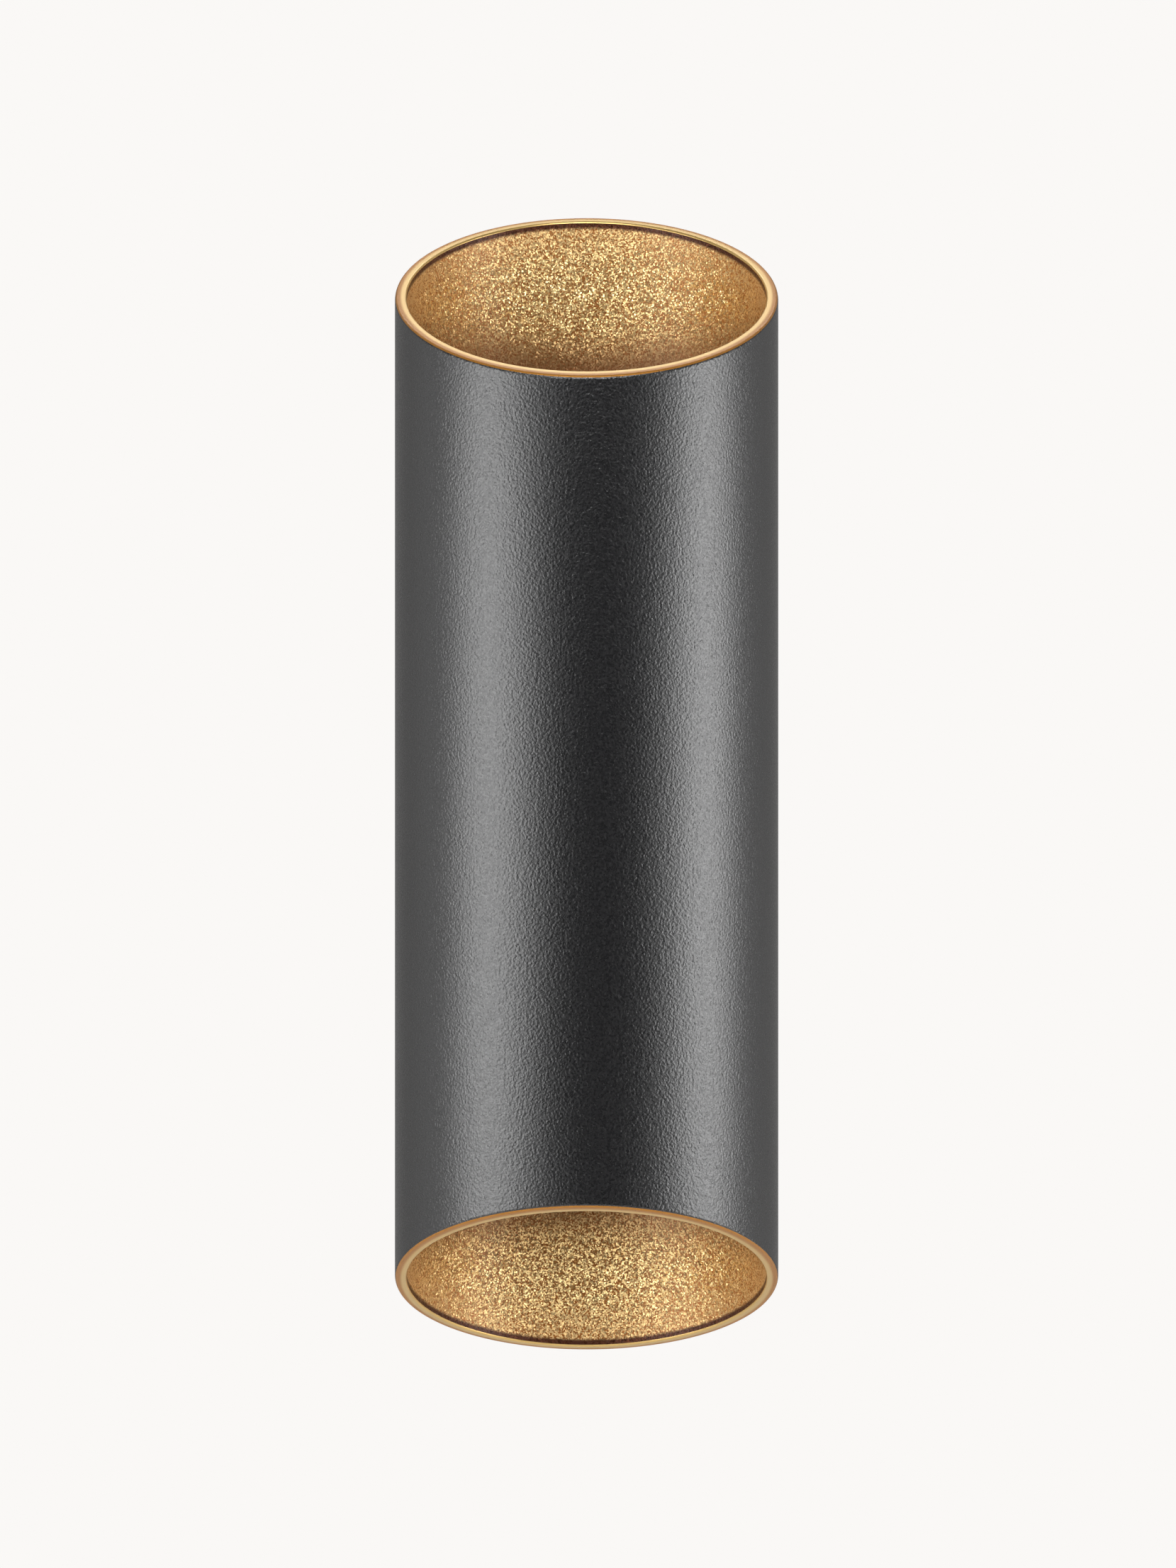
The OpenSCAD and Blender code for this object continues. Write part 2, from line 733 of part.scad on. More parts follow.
// The screws of the clamping ring
module ring_screws() {
    color(STEEL) each_ring_screw() raise(ring_t) screw(ring_screw_d, ring_t + ring_screw_grip - 1);
}

// Places children at each pole of the terminal block, with Z along its barrel
module each_pole() {
    for (i = [-1, 0, 1]) translate([i * pole_pitch, barrel_y, terminal_z]) children();
}

// The terminal block's housing: a base strip, a barrel for each pole and two screw towers on each
module terminal_block() {
    strip_h = barrel_len * 0.6;
    color(WHITE) difference() {
        union() {
            translate([-1.5 * pole_pitch, terminal_y, terminal_z - strip_h / 2])
                cube([3 * pole_pitch, block_base_h, strip_h]);
            each_pole() {
                cylinder(d = barrel_d, h = barrel_len, center = true);
                each_tower() rod_y(tower_d, 0, tower_h);
            }
        }
        each_pole() {
            cylinder(d = clamp_d + 2 * seat, h = barrel_len + 2 * past, center = true);
            each_tower() rod_y(clamp_screw_d + 0.6, 0, tower_h + past);
        }
        for (x = [-1, 1]) translate([x * pole_pitch / 2, 0, terminal_z]) {
            rod_y(fixing_d + hole_fit, terminal_y - past, barrel_y);
            rod_y(head_d_share * fixing_d + 2 * hole_fit, terminal_y + block_base_h, barrel_y + barrel_d);
        }
    }
}

// Places children at the two screw towers of a pole
module each_tower() {
    for (z = [-1, 1]) translate([0, 0, z * barrel_len * 0.24]) children();
}

// The three brass tubes that grip the wires
module terminal_clamps() {
    color(BRASS) each_pole() difference() {
        cylinder(d = clamp_d, h = barrel_len - 2, center = true);
        cylinder(d = clamp_bore, h = barrel_len, center = true);
        each_tower() rod_y(clamp_screw_d + 2 * thread_fit, 0, clamp_d);
    }
}

// The six screws that press on the wires
module terminal_screws() {
    color(STEEL) each_pole() each_tower() difference() {
        rod_y(clamp_screw_d, bundle + wire_d / 2 + seat, tower_h - 1);
        translate([-clamp_screw_d, tower_h - 1.6, -0.25]) cube([2 * clamp_screw_d, 1, 0.5]);
    }
}

// The two screws that hold the terminal block on its pad
module terminal_fixings() {
    color(STEEL) for (x = [-1, 1]) translate([x * pole_pitch / 2, terminal_y + block_base_h, terminal_z])
        rotate([-90, 0, 0]) screw(fixing_d, block_base_h + pad_lift + 0.5);
}

// The earth screw in its boss
module earth_screw() {
    color(BRASS) translate([0, earth_y + tag_t, earth_z]) rotate([-90, 0, 0])
        screw(earth_d, earth_y + tag_t - box_floor_y);
}

// The ring tag under the earth screw, with a sleeve for the wire
module earth_tag() {
    color(STEEL) translate([0, earth_y, earth_z]) difference() {
        union() {
            rod_y(earth_boss_d - 1, 0, tag_t);
            translate([-sleeve_d / 2, 0, 0]) cube([sleeve_d, tag_t, earth_boss_d / 2 + 1]);
            translate([0, sleeve_d / 2, earth_boss_d / 2]) cylinder(d = sleeve_d, h = sleeve_len);
        }
        rod_y(earth_d + hole_fit, -past, tag_t + past);
        translate([0, sleeve_d / 2, earth_boss_d / 2 - past])
            cylinder(d = wire_d + hole_fit, h = sleeve_len + 2 * past);
    }
}

// A unit vector, and one that is turned square to a direction
function unit(v) = v / norm(v);
function square_to(v, dir) = unit(v - (v * dir) * dir);

// A point on a smooth curve through b and c
function curve_point(a, b, c, d, t) =
    0.5 * (2 * b + (c - a) * t + (2 * a - 5 * b + 4 * c - d) * t * t + (3 * b - a - 3 * c + d) * t * t * t);

// A smooth curve through a list of points, with n steps between each two
function smooth(p, n) = [
    for (i = [0 : len(p) - 2], k = [0 : n - 1])
        curve_point(p[max(i - 1, 0)], p[i], p[i + 1], p[min(i + 2, len(p) - 1)], k / n),
    p[len(p) - 1]
];

// The direction of a curve at point i, and one side direction at each point, carried along without twist
function heading(p, i) = unit(p[min(i + 1, len(p) - 1)] - p[max(i - 1, 0)]);
function sides_of(p, side, i = 0) =
    i == len(p) ? [] : let (s = square_to(side, heading(p, i))) concat([s], sides_of(p, s, i + 1));

// A round wire along a list of points
module wire(points) {
    sides = 8;
    path = smooth(points, 4);
    across = sides_of(path, unit([1, 0.3, 0.2]));
    rings = len(path);
    skin = [for (i = [0 : rings - 1], k = [0 : sides - 1]) let (a = 360 * k / sides)
        path[i] + wire_d / 2 * (cos(a) * across[i] + sin(a) * cross(heading(path, i), across[i]))];
    polyhedron(skin, concat(
        [[for (k = [0 : sides - 1]) k]],
        [[for (k = [sides - 1 : -1 : 0]) (rings - 1) * sides + k]],
        [for (i = [0 : rings - 2], k = [0 : sides - 1])
            let (a = i * sides + k, b = i * sides + (k + 1) % sides)
            each [[a, a + sides, b + sides], [a, b + sides, b]]]
    ));
}

// A wire from the terminal block, through the grommet, to a lamp holder.
// Side is -1 for live and 1 for neutral, and up is 1 for the upper lamp and -1 for the lower one.
module lamp_wire(side, up, shade) {
    start_z = terminal_z - barrel_len / 2;
    pole_y = barrel_y - up * bundle;
    lane = [side * bundle, up * bundle];
    color(shade) wire([
        [side * pole_pitch, pole_y, start_z + wire_grip],
        [side * pole_pitch, pole_y, start_z + wire_lead],
        [side * pole_pitch, pole_y, start_z - wire_lead],
        [side * pole_pitch * 0.6, pole_y, start_z - wire_grip],
        [side * 2, pole_y - 0.4, lane[1] * 0.9 + 1.2],
        [lane[0], box_floor_y, lane[1]],
        [lane[0], axis_y + bore_r, lane[1]],
        [lane[0], axis_y + bore_r - wire_bend, lane[1]],
        [side * 3, axis_y + wire_fork, up * 2.5],
        [side * pin_r, axis_y + pin_r, up * pin_r],
        [side * pin_r, axis_y, up * (shelf_z - wire_lead)],
        [side * pin_r, axis_y, up * (shelf_top + wire_lead)],
        [side * pin_r, axis_y, up * (shelf_top + wire_grip)],
    ]);
}

// The earth wire, from the middle pole over the other wires to the tag
module earth_wire() {
    start_z = terminal_z - barrel_len / 2;
    tag_y = earth_y + sleeve_d / 2;
    tag_z = earth_z + earth_boss_d / 2;
    color("#5d8a3a") wire([
        [0, barrel_y, start_z + wire_grip],
        [0, barrel_y, start_z + wire_lead],
        [0, barrel_y, start_z - wire_lead],
        [0, barrel_y + wire_grip, start_z - wire_bend],
        [0, barrel_y + earth_boss_h, 0],
        [0, tag_y + 2.5, tag_z + earth_drop],
        [0, tag_y, tag_z + wire_bend],
        [0, tag_y, tag_z + sleeve_len - wire_lead],
        [0, tag_y, tag_z + wire_lead],
    ]);
}

housing_tube();
wall_box();
saddle_pad();
wall_seal();
wall_bracket();
side_screws();
saddle_bolts();
cable_grommet();
chassis();
pillars();
pillar_screws();
chassis_screws();
on_axis() lamp_holder();  // upper_lamp_holder
on_axis(true) lamp_holder();  // lower_lamp_holder
on_axis() contacts();  // upper_contacts
on_axis(true) contacts();  // lower_contacts
holder_screws();
holder_nuts();
on_axis() lamp_body();  // upper_lamp_body
on_axis() lamp_lens();  // upper_lamp_lens
on_axis() lamp_pins();  // upper_lamp_pins
on_axis(true) lamp_body();  // lower_lamp_body
on_axis(true) lamp_lens();  // lower_lamp_lens
on_axis(true) lamp_pins();  // lower_lamp_pins
on_axis() cover();  // upper_cover
on_axis() seal_ring();  // upper_seal_ring
on_axis() glass_seal();  // upper_glass_seal
on_axis() glass();  // upper_glass
on_axis() clamp_ring();  // upper_clamp_ring
on_axis() ring_screws();  // upper_ring_screws
on_axis(true) cover();  // lower_cover
on_axis(true) seal_ring();  // lower_seal_ring
on_axis(true) glass_seal();  // lower_glass_seal
on_axis(true) glass();  // lower_glass
on_axis(true) clamp_ring();  // lower_clamp_ring
on_axis(true) ring_screws();  // lower_ring_screws
terminal_block();
terminal_clamps();
terminal_screws();
terminal_fixings();
earth_screw();
earth_tag();
earth_wire();
lamp_wire(-1, 1, "#7a4a2a");  // upper_live_wire
lamp_wire(1, 1, "#2f5f9e");  // upper_neutral_wire
lamp_wire(-1, -1, "#7a4a2a");  // lower_live_wire
lamp_wire(1, -1, "#2f5f9e");  // lower_neutral_wire
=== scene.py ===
"""Dresses the outdoor wall lamp: a black tube with slanted ends, gold inside, and all that it holds.

Lengths are in metres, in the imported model's frame: the wall is y = 0, the room is towards -Y, Z is up.
"""

import logging
import math
from collections.abc import Callable, Iterable
from dataclasses import dataclass
from enum import Enum

import bpy
from mathutils import Matrix, Vector


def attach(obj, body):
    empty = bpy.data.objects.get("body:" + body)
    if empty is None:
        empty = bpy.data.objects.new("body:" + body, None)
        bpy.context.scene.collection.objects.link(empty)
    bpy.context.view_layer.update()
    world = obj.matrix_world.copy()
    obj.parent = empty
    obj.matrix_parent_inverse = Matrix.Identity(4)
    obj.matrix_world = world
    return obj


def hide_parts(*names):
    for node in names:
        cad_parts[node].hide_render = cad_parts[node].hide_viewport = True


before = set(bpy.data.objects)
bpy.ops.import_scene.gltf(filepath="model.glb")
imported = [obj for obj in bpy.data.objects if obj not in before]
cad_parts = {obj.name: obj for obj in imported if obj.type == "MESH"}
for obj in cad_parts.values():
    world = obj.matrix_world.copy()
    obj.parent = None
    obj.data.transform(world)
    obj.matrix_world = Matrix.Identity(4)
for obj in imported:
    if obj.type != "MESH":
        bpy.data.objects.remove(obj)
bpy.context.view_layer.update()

Tree = bpy.types.NodeTree
Node = bpy.types.Node
Socket = bpy.types.NodeSocket
Span = tuple[float, float]
Place = tuple[float, float, float]
Test = Callable[[Vector, Vector], bool]

LOG = logging.getLogger("wall_lamp")
MM = 0.001
# A point this close to a surface counts as lying on it.
NEAR = 0.02 * MM
# The tube's axis, and the cut of its upper end by a point in it and its outward normal.
AXIS_Y = -80 * MM
END_SPOT = Vector((0, -130, 100)) * MM
END_CUT = Vector((0, -60, 100)).normalized()
# Turns what is made for the upper end over, to its place at the lower end.
HALF_TURN = Matrix.Rotation(math.pi, 4, "Y")


class End(Enum):
    """The two ends of the tube. What is made for the upper one is turned over for the lower one."""

    UPPER = "upper"
    LOWER = "lower"

    @property
    def body(self) -> str:
        """Names the body that this end's lamp rides on."""
        return f"{self.value}_lamp"


class Along(Enum):
    """The axis that a rod lies along, with how it is turned from upright to lie so."""

    X = (0, math.pi / 2, 0)
    Y = (math.pi / 2, 0, 0)
    Z = (0, 0, 0)


class Joining(Enum):
    """How one solid is combined with another."""

    CUT_OUT = "DIFFERENCE"
    MELT_IN = "UNION"
    KEEP_SHARED = "INTERSECT"


class Part(Enum):
    """What is picked on a mesh."""

    EDGES = "edges"
    FACES = "polygons"


def linear(colour: str) -> tuple[float, float, float, float]:
    """Turns an sRGB hex colour into Blender's linear RGBA.

    Args:
        colour: Six hex digits after a hash sign.

    Returns:
        Red, green, blue and an alpha of 1.
    """
    parts = [int(colour[i:i + 2], 16) / 255 for i in (1, 3, 5)]
    red, green, blue = [c / 12.92 if c <= 0.04045 else ((c + 0.055) / 1.055) ** 2.4 for c in parts]
    return red, green, blue, 1.0


def add_node(tree: Tree, kind: str, inputs: dict | None = None, **settings: object) -> Node:
    """Adds a node with its settings, its socket values and the links that feed it.

    Args:
        tree: The node tree that gets it.
        kind: The node's type.
        inputs: By name or number, a socket's value, or the output that feeds it, or the node whose first
            output does.
        settings: The node's own attributes.

    Returns:
        The new node.
    """
    node = tree.nodes.new(kind)
    for name, value in settings.items():
        setattr(node, name, value)
    for key, value in (inputs or {}).items():
        source = value.outputs[0] if isinstance(value, Node) else value
        if isinstance(source, Socket):
            tree.links.new(source, node.inputs[key])
        else:
            node.inputs[key].default_value = source
    return node


@dataclass(frozen=True)
class Finish:
    """A plain surface: its material's name, the record's slot, its colour and how it takes light."""

    name: str
    slot: str
    colour: str
    roughness: float
    metallic: float = 0.0
    ior: float = 1.5
    lacquer: float = 0.0
    lacquer_roughness: float = 0.03

    def material(self) -> bpy.types.Material:
        """Makes the material the first time, and gives the same one afterwards.

        Returns:
            The material.
        """
        found = bpy.data.materials.get(self.name)
        if found:
            return found
        made = bpy.data.materials.new(self.name)
        made.use_nodes = True
        tree = made.node_tree
        tree.nodes.clear()
        inputs = {"Base Color": linear(self.colour), "Roughness": self.roughness, "Metallic": self.metallic,
                  "Coat Weight": self.lacquer, "Coat Roughness": self.lacquer_roughness}
        if not self.metallic:
            inputs["IOR"] = self.ior
        shader = add_node(tree, "ShaderNodeBsdfPrincipled", inputs)
        add_node(tree, "ShaderNodeOutputMaterial", {"Surface": shader})
        self.pattern(tree, shader, add_node(tree, "ShaderNodeTexCoord").outputs["Object"])
        return made

    def pattern(self, tree: Tree, shader: Node, place: Socket) -> None:
        """Adds what the surface shows close up. A plain surface shows nothing."""


@dataclass(frozen=True)
class PowderCoat(Finish):
    """A fine-textured polyester powder coat: melted grains leave an orange peel that glitters in soft light.

    The real grains are about 0.3 mm across. They are drawn twice as coarse, so that they show in the render.
    """

    grain: float = 0.62 * MM
    depth: float = 0.18 * MM
    speck_share: float = 0.9
    speck_span: Span = (0.35, 0.65)
    gloss_step: float = 0.05

    def pattern(self, tree: Tree, shader: Node, place: Socket) -> None:
        """Adds the orange peel, and specks where the powder lies thicker.

        Args:
            tree: The material's node tree.
            shader: Its shader.
            place: Each point's place on the object.
        """
        peel = add_node(tree, "ShaderNodeTexNoise", {"Vector": place, "Scale": 1 / self.grain, "Detail": 2.0})
        bump = add_node(tree, "ShaderNodeBump", {"Height": peel, "Strength": 1.0, "Distance": self.depth})
        tree.links.new(bump.outputs[0], shader.inputs["Normal"])
        specks = add_node(tree, "ShaderNodeTexNoise",
                          {"Vector": place, "Scale": 1 / (self.speck_share * self.grain)})
        rough = add_node(tree, "ShaderNodeMapRange",
                         {0: specks, 1: self.speck_span[0], 2: self.speck_span[1],
                          3: self.roughness + self.gloss_step, 4: self.roughness - self.gloss_step},
                         interpolation_type="SMOOTHSTEP")
        tree.links.new(rough.outputs[0], shader.inputs["Roughness"])


@dataclass(frozen=True)
class FlakePaint(Finish):
    """A gold effect paint: bright flakes lie at all angles in a deeper gold, so each one flashes on its own.

    The real flakes are about 0.05 mm across. They are drawn seven times as coarse, so that they show in the
    render. Deep in the tube and towards its mouth the flakes are fewer, which is painted shade, and low on
    the bore and just inside the cut a dark colour comes in, which is painted shadow.

    Attributes:
        tilt: How far the flakes lean, and body_tilt what share of that the paint between them does.
        share: How many cells hold a flake, and soft how far the two kinds run into each other.
        deep_z: From the first height to the second, the flakes go from few to all: painted shade deep in the
            tube.
        mouth: From the first distance to the second, counted out from the cut, they go from all to thinned:
            painted shade.
        painted_shadow_z: From the first height to the second, the dark colour goes from sunk to none: painted
            shadow of the front rim.
        rim_shadow_band: From the first distance to the second, the dark colour comes in fully by the cut:
            painted shadow under it.
        flake_gloss: What share of the paint's roughness a flake has.
    """

    flake: float = 0.36 * MM
    tilt: float = 0.9
    body_tilt: float = 0.3
    deep: str = "#9c5f20"
    share: float = 0.5
    soft: float = 0.05
    # Painted shade: the flake share drops deep in the tube and towards the cut.
    deep_z: Span = (112 * MM, 136 * MM)
    few: float = 0.12
    mouth: Span = (-16 * MM, -1 * MM)
    mouth_shade_share: float = 0.55
    # Painted shadow: a dark colour low on the bore and just inside the cut.
    painted_shadow_z: Span = (112 * MM, 130 * MM)
    painted_shadow: float = 0.6
    rim_shadow_band: Span = (-2.2 * MM, -1.2 * MM)
    shadow_colour: str = "#4a2208"
    flake_gloss: float = 0.8
    lacquer: float = 0.12
    lacquer_roughness: float = 0.3

    def pattern(self, tree: Tree, shader: Node, place: Socket) -> None:
        """Adds the flakes, each with its own slant, in a body that is duller and nearly level.

        Args:
            tree: The material's node tree.
            shader: Its shader.
            place: Each point's place on the object.
        """
        spot = add_node(tree, "ShaderNodeSeparateXYZ", {0: place}).outputs
        height = add_node(tree, "ShaderNodeMath", {0: spot[2]}, operation="ABSOLUTE")
        lean = add_node(tree, "ShaderNodeMath", {0: spot[1], 1: END_CUT.y, 2: -END_CUT.dot(END_SPOT)},
                        operation="MULTIPLY_ADD")
        from_cut = add_node(tree, "ShaderNodeMath", {0: height, 1: END_CUT.z, 2: lean},
                            operation="MULTIPLY_ADD")
        # Painted shade: fewer flakes deep in the tube and towards the cut, where the bore gets less light.
        inner = add_node(tree, "ShaderNodeMapRange",
                         {0: height, 1: self.deep_z[0], 2: self.deep_z[1], 3: self.few, 4: 1.0},
                         interpolation_type="SMOOTHSTEP")
        outer = add_node(tree, "ShaderNodeMapRange",
                         {0: from_cut, 1: self.mouth[0], 2: self.mouth[1], 3: 1.0, 4: self.mouth_shade_share},
                         interpolation_type="SMOOTHSTEP")
        unshaded_share = add_node(tree, "ShaderNodeMath", {0: inner, 1: outer}, operation="MULTIPLY")
        # Painted shadow: a dark colour just inside the cut, under the rim, and low on the bore, where the
        # front rim shades it.
        edge = add_node(tree, "ShaderNodeMapRange",
                        {0: from_cut, 1: self.rim_shadow_band[0], 2: self.rim_shadow_band[1]},
                        interpolation_type="SMOOTHSTEP")
        painted_shadow = add_node(tree, "ShaderNodeMapRange",
                        {0: height, 1: self.painted_shadow_z[0], 2: self.painted_shadow_z[1], 3: self.painted_shadow, 4: 0.0},
                        interpolation_type="SMOOTHSTEP")
        painted_shadow_mask = add_node(tree, "ShaderNodeMath", {0: edge, 1: painted_shadow}, operation="MAXIMUM")

        random = add_node(tree, "ShaderNodeTexVoronoi",
                          {"Vector": place, "Scale": 1 / self.flake}).outputs["Color"]
        lots = add_node(tree, "ShaderNodeSeparateXYZ", {0: random}).outputs
        cells = add_node(tree, "ShaderNodeMapRange",
                         {0: lots[1], 1: 1 - self.share - self.soft, 2: 1 - self.share + self.soft},
                         interpolation_type="SMOOTHSTEP")
        bright = add_node(tree, "ShaderNodeMath", {0: cells, 1: unshaded_share}, operation="MULTIPLY")
        centred = add_node(tree, "ShaderNodeVectorMath", {0: random, 1: (0.5, 0.5, 0.5)},
                           operation="SUBTRACT")
        reach = add_node(tree, "ShaderNodeMapRange", {0: bright, 3: self.body_tilt * self.tilt, 4: self.tilt},
                         interpolation_type="SMOOTHSTEP")
        slant = add_node(tree, "ShaderNodeVectorMath", {0: centred, "Scale": reach}, operation="SCALE")
        normal = add_node(tree, "ShaderNodeNewGeometry").outputs["Normal"]
        turned = add_node(tree, "ShaderNodeVectorMath", {0: normal, 1: slant}, operation="ADD")
        level = add_node(tree, "ShaderNodeVectorMath", {0: turned}, operation="NORMALIZE")
        tree.links.new(level.outputs[0], shader.inputs["Normal"])

        gold = add_node(tree, "ShaderNodeMix", {0: bright, 6: linear(self.deep), 7: linear(self.colour)},
                        data_type="RGBA")
        # The painted shadow's dark colour is mixed in here.
        with_painted_shadow = add_node(tree, "ShaderNodeMix", {0: painted_shadow_mask, 6: gold.outputs[2], 7: linear(self.shadow_colour)},
                         data_type="RGBA")
        tree.links.new(with_painted_shadow.outputs[2], shader.inputs["Base Color"])
        for name, body, flake in (("Metallic", self.metallic, 1.0),
                                  ("Roughness", self.roughness, self.flake_gloss * self.roughness)):
            value = add_node(tree, "ShaderNodeMapRange", {0: bright, 3: body, 4: flake},
                             interpolation_type="SMOOTHSTEP")
            tree.links.new(value.outputs[0], shader.inputs[name])


@dataclass(frozen=True)
class RimPaint(Finish):
    """The same gold where it wraps over the cut end: smooth by the bore, rough and pitted by the outside.

    The grain and the pinholes are drawn a few times coarser than the real ones, so that they show. The colour
    is paler by the bore, which is partly a painted highlight of the rounded inner edge.

    Attributes:
        band: From the first radius to the second, the rim goes from smooth to rough.
        pit_every: How far the pinholes are apart, and pit_r the share of that to their floor and edge.
        outer: The rough band's colour, and dark the pinholes'.
        dulled: How much rougher the band is.
    """

    band: Span = (48 * MM, 49 * MM)
    grain: float = 0.3 * MM
    depth: float = 0.03 * MM
    pit_every: float = 1.1 * MM
    pit_r: Span = (0.10, 0.16)
    dark: str = "#8a5a2a"
    outer: str = "#b07628"
    dulled: float = 0.12
    lacquer: float = 0.3
    lacquer_roughness: float = 0.2

    def pattern(self, tree: Tree, shader: Node, place: Socket) -> None:
        """Adds the rough band's grain and its pinholes, which fade towards the bore.

        Args:
            tree: The material's node tree.
            shader: Its shader.
            place: Each point's place on the object.
        """
        centre = add_node(tree, "ShaderNodeMapping",
                          {"Vector": place, "Location": (0, -AXIS_Y, 0), "Scale": (1, 1, 0)})
        radius = add_node(tree, "ShaderNodeVectorMath", {0: centre}, operation="LENGTH").outputs["Value"]
        band = add_node(tree, "ShaderNodeMapRange", {0: radius, 1: self.band[0], 2: self.band[1]},
                        interpolation_type="SMOOTHSTEP")
        grain = add_node(tree, "ShaderNodeTexNoise",
                         {"Vector": place, "Scale": 1 / self.grain, "Detail": 2.0})
        cells = add_node(tree, "ShaderNodeTexVoronoi", {"Vector": place, "Scale": 1 / self.pit_every})
        pits = add_node(tree, "ShaderNodeMapRange",
                        {0: cells.outputs["Distance"], 1: self.pit_r[0], 2: self.pit_r[1], 3: 1.0, 4: 0.0},
                        interpolation_type="SMOOTHSTEP")
        pitted = add_node(tree, "ShaderNodeMath", {0: pits, 1: band}, operation="MULTIPLY")
        height = add_node(tree, "ShaderNodeMath", {0: grain, 1: pits}, operation="SUBTRACT")
        bump = add_node(tree, "ShaderNodeBump", {"Height": height, "Strength": band, "Distance": self.depth})
        tree.links.new(bump.outputs[0], shader.inputs["Normal"])
        # Paler by the bore: partly a painted highlight of the rounded inner edge.
        across = add_node(tree, "ShaderNodeMix", {0: band, 6: linear(self.colour), 7: linear(self.outer)},
                          data_type="RGBA")
        mixed = add_node(tree, "ShaderNodeMix", {0: pitted, 6: across.outputs[2], 7: linear(self.dark)},
                         data_type="RGBA")
        tree.links.new(mixed.outputs[2], shader.inputs["Base Color"])
        rough = add_node(tree, "ShaderNodeMapRange",
                         {0: band, 3: self.roughness, 4: self.roughness + self.dulled},
                         interpolation_type="SMOOTHSTEP")
        tree.links.new(rough.outputs[0], shader.inputs["Roughness"])


@dataclass(frozen=True, kw_only=True)
class Clouded(Finish):
    """A surface with faint clouds of a second colour and a fine grain, which also shows in its gloss.

    Turning marks, plating and mould grain are finer than 0.1 mm. They are drawn 0.15 to 0.4 mm wide, so that
    they show in the render.
    """

    second: str
    cloud: float
    grain: float
    depth: float
    cloud_span: Span = (0.35, 0.65)
    grain_span: Span = (0.3, 0.7)
    gloss_share: float = 0.15

    def pattern(self, tree: Tree, shader: Node, place: Socket) -> None:
        """Adds the clouds and the grain.

        Args:
            tree: The material's node tree.
            shader: Its shader.
            place: Each point's place on the object.
        """
        cloud = add_node(tree, "ShaderNodeTexNoise",
                         {"Vector": place, "Scale": 1 / self.cloud, "Detail": 3.0})
        grain = add_node(tree, "ShaderNodeTexNoise",
                         {"Vector": place, "Scale": 1 / self.grain, "Detail": 2.0})
        share = add_node(tree, "ShaderNodeMapRange",
                         {0: cloud, 1: self.cloud_span[0], 2: self.cloud_span[1]},
                         interpolation_type="SMOOTHSTEP")
        colour = add_node(tree, "ShaderNodeMix", {0: share, 6: linear(self.colour), 7: linear(self.second)},
                          data_type="RGBA")
        tree.links.new(colour.outputs[2], shader.inputs["Base Color"])
        rough = add_node(tree, "ShaderNodeMapRange",
                         {0: grain, 1: self.grain_span[0], 2: self.grain_span[1],
                          3: self.roughness * (1 - self.gloss_share),
                          4: self.roughness * (1 + self.gloss_share)}, interpolation_type="SMOOTHSTEP")
        tree.links.new(rough.outputs[0], shader.inputs["Roughness"])
        bump = add_node(tree, "ShaderNodeBump", {"Height": grain, "Strength": 1.0, "Distance": self.depth})
        tree.links.new(bump.outputs[0], shader.inputs["Normal"])


@dataclass(frozen=True)
class ClearBody(Finish):
    """Glass or a clear plastic, which light goes through, with the faint haze of dust and wiping."""

    clear: float = 1.0
    smear: float = 12 * MM
    smear_span: Span = (0.45, 0.75)
    haze: float = 0.04

    def pattern(self, tree: Tree, shader: Node, place: Socket) -> None:
        """Lets the light through, and adds the haze.

        Args:
            tree: The material's node tree.
            shader: Its shader.
            place: Each point's place on the object.
        """
        shader.inputs["Transmission Weight"].default_value = self.clear
        smears = add_node(tree, "ShaderNodeTexNoise",
                          {"Vector": place, "Scale": 1 / self.smear, "Detail": 4.0})
        rough = add_node(tree, "ShaderNodeMapRange",
                         {0: smears, 1: self.smear_span[0], 2: self.smear_span[1],
                          3: self.roughness, 4: self.roughness + self.haze},
                         interpolation_type="SMOOTHSTEP")
        tree.links.new(rough.outputs[0], shader.inputs["Roughness"])
        shadow = add_node(tree, "ShaderNodeLightPath").outputs["Is Shadow Ray"]
        through = add_node(tree, "ShaderNodeBsdfTransparent", {"Color": linear(self.colour)})
        mixed = add_node(tree, "ShaderNodeMixShader", {0: shadow, 1: shader, 2: through})
        tree.links.new(mixed.outputs[0], tree.nodes["Material Output"].inputs["Surface"])


@dataclass(frozen=True)
class StripedSleeve(Finish):
    """Earth wire insulation: green, with a yellow stripe along its front and back."""

    second: str = "#d9c21f"
    stripe: float = 0.45 * MM
    soft: float = 0.1

    def pattern(self, tree: Tree, shader: Node, place: Socket) -> None:
        """Adds the stripes, which lie near the plane that the wire runs in.

        Args:
            tree: The material's node tree.
            shader: Its shader.
            place: Each point's place on the object.
        """
        across = add_node(tree, "ShaderNodeSeparateXYZ", {0: place})
        off = add_node(tree, "ShaderNodeMath", {0: across}, operation="ABSOLUTE")
        share = add_node(tree, "ShaderNodeMapRange",
                         {0: off, 1: (1 - self.soft) * self.stripe, 2: (1 + self.soft) * self.stripe,
                          3: 1.0, 4: 0.0},
                         interpolation_type="SMOOTHSTEP")
        colour = add_node(tree, "ShaderNodeMix", {0: share, 6: linear(self.colour), 7: linear(self.second)},
                          data_type="RGBA")
        tree.links.new(colour.outputs[2], shader.inputs["Base Color"])


# Polyester powder, baked on aluminium: satin, nearly black, with a grain that side light picks out.
BLACK_COAT = PowderCoat("Fine-textured black powder coat", "black_coat", "#0d0d0f", 0.3, ior=1.7)
# The same coat on the casting, which has a slot of its own.
BOX_COAT = PowderCoat("Fine-textured black powder coat on the casting", "box_coat", "#0d0d0f", 0.3, ior=1.7)
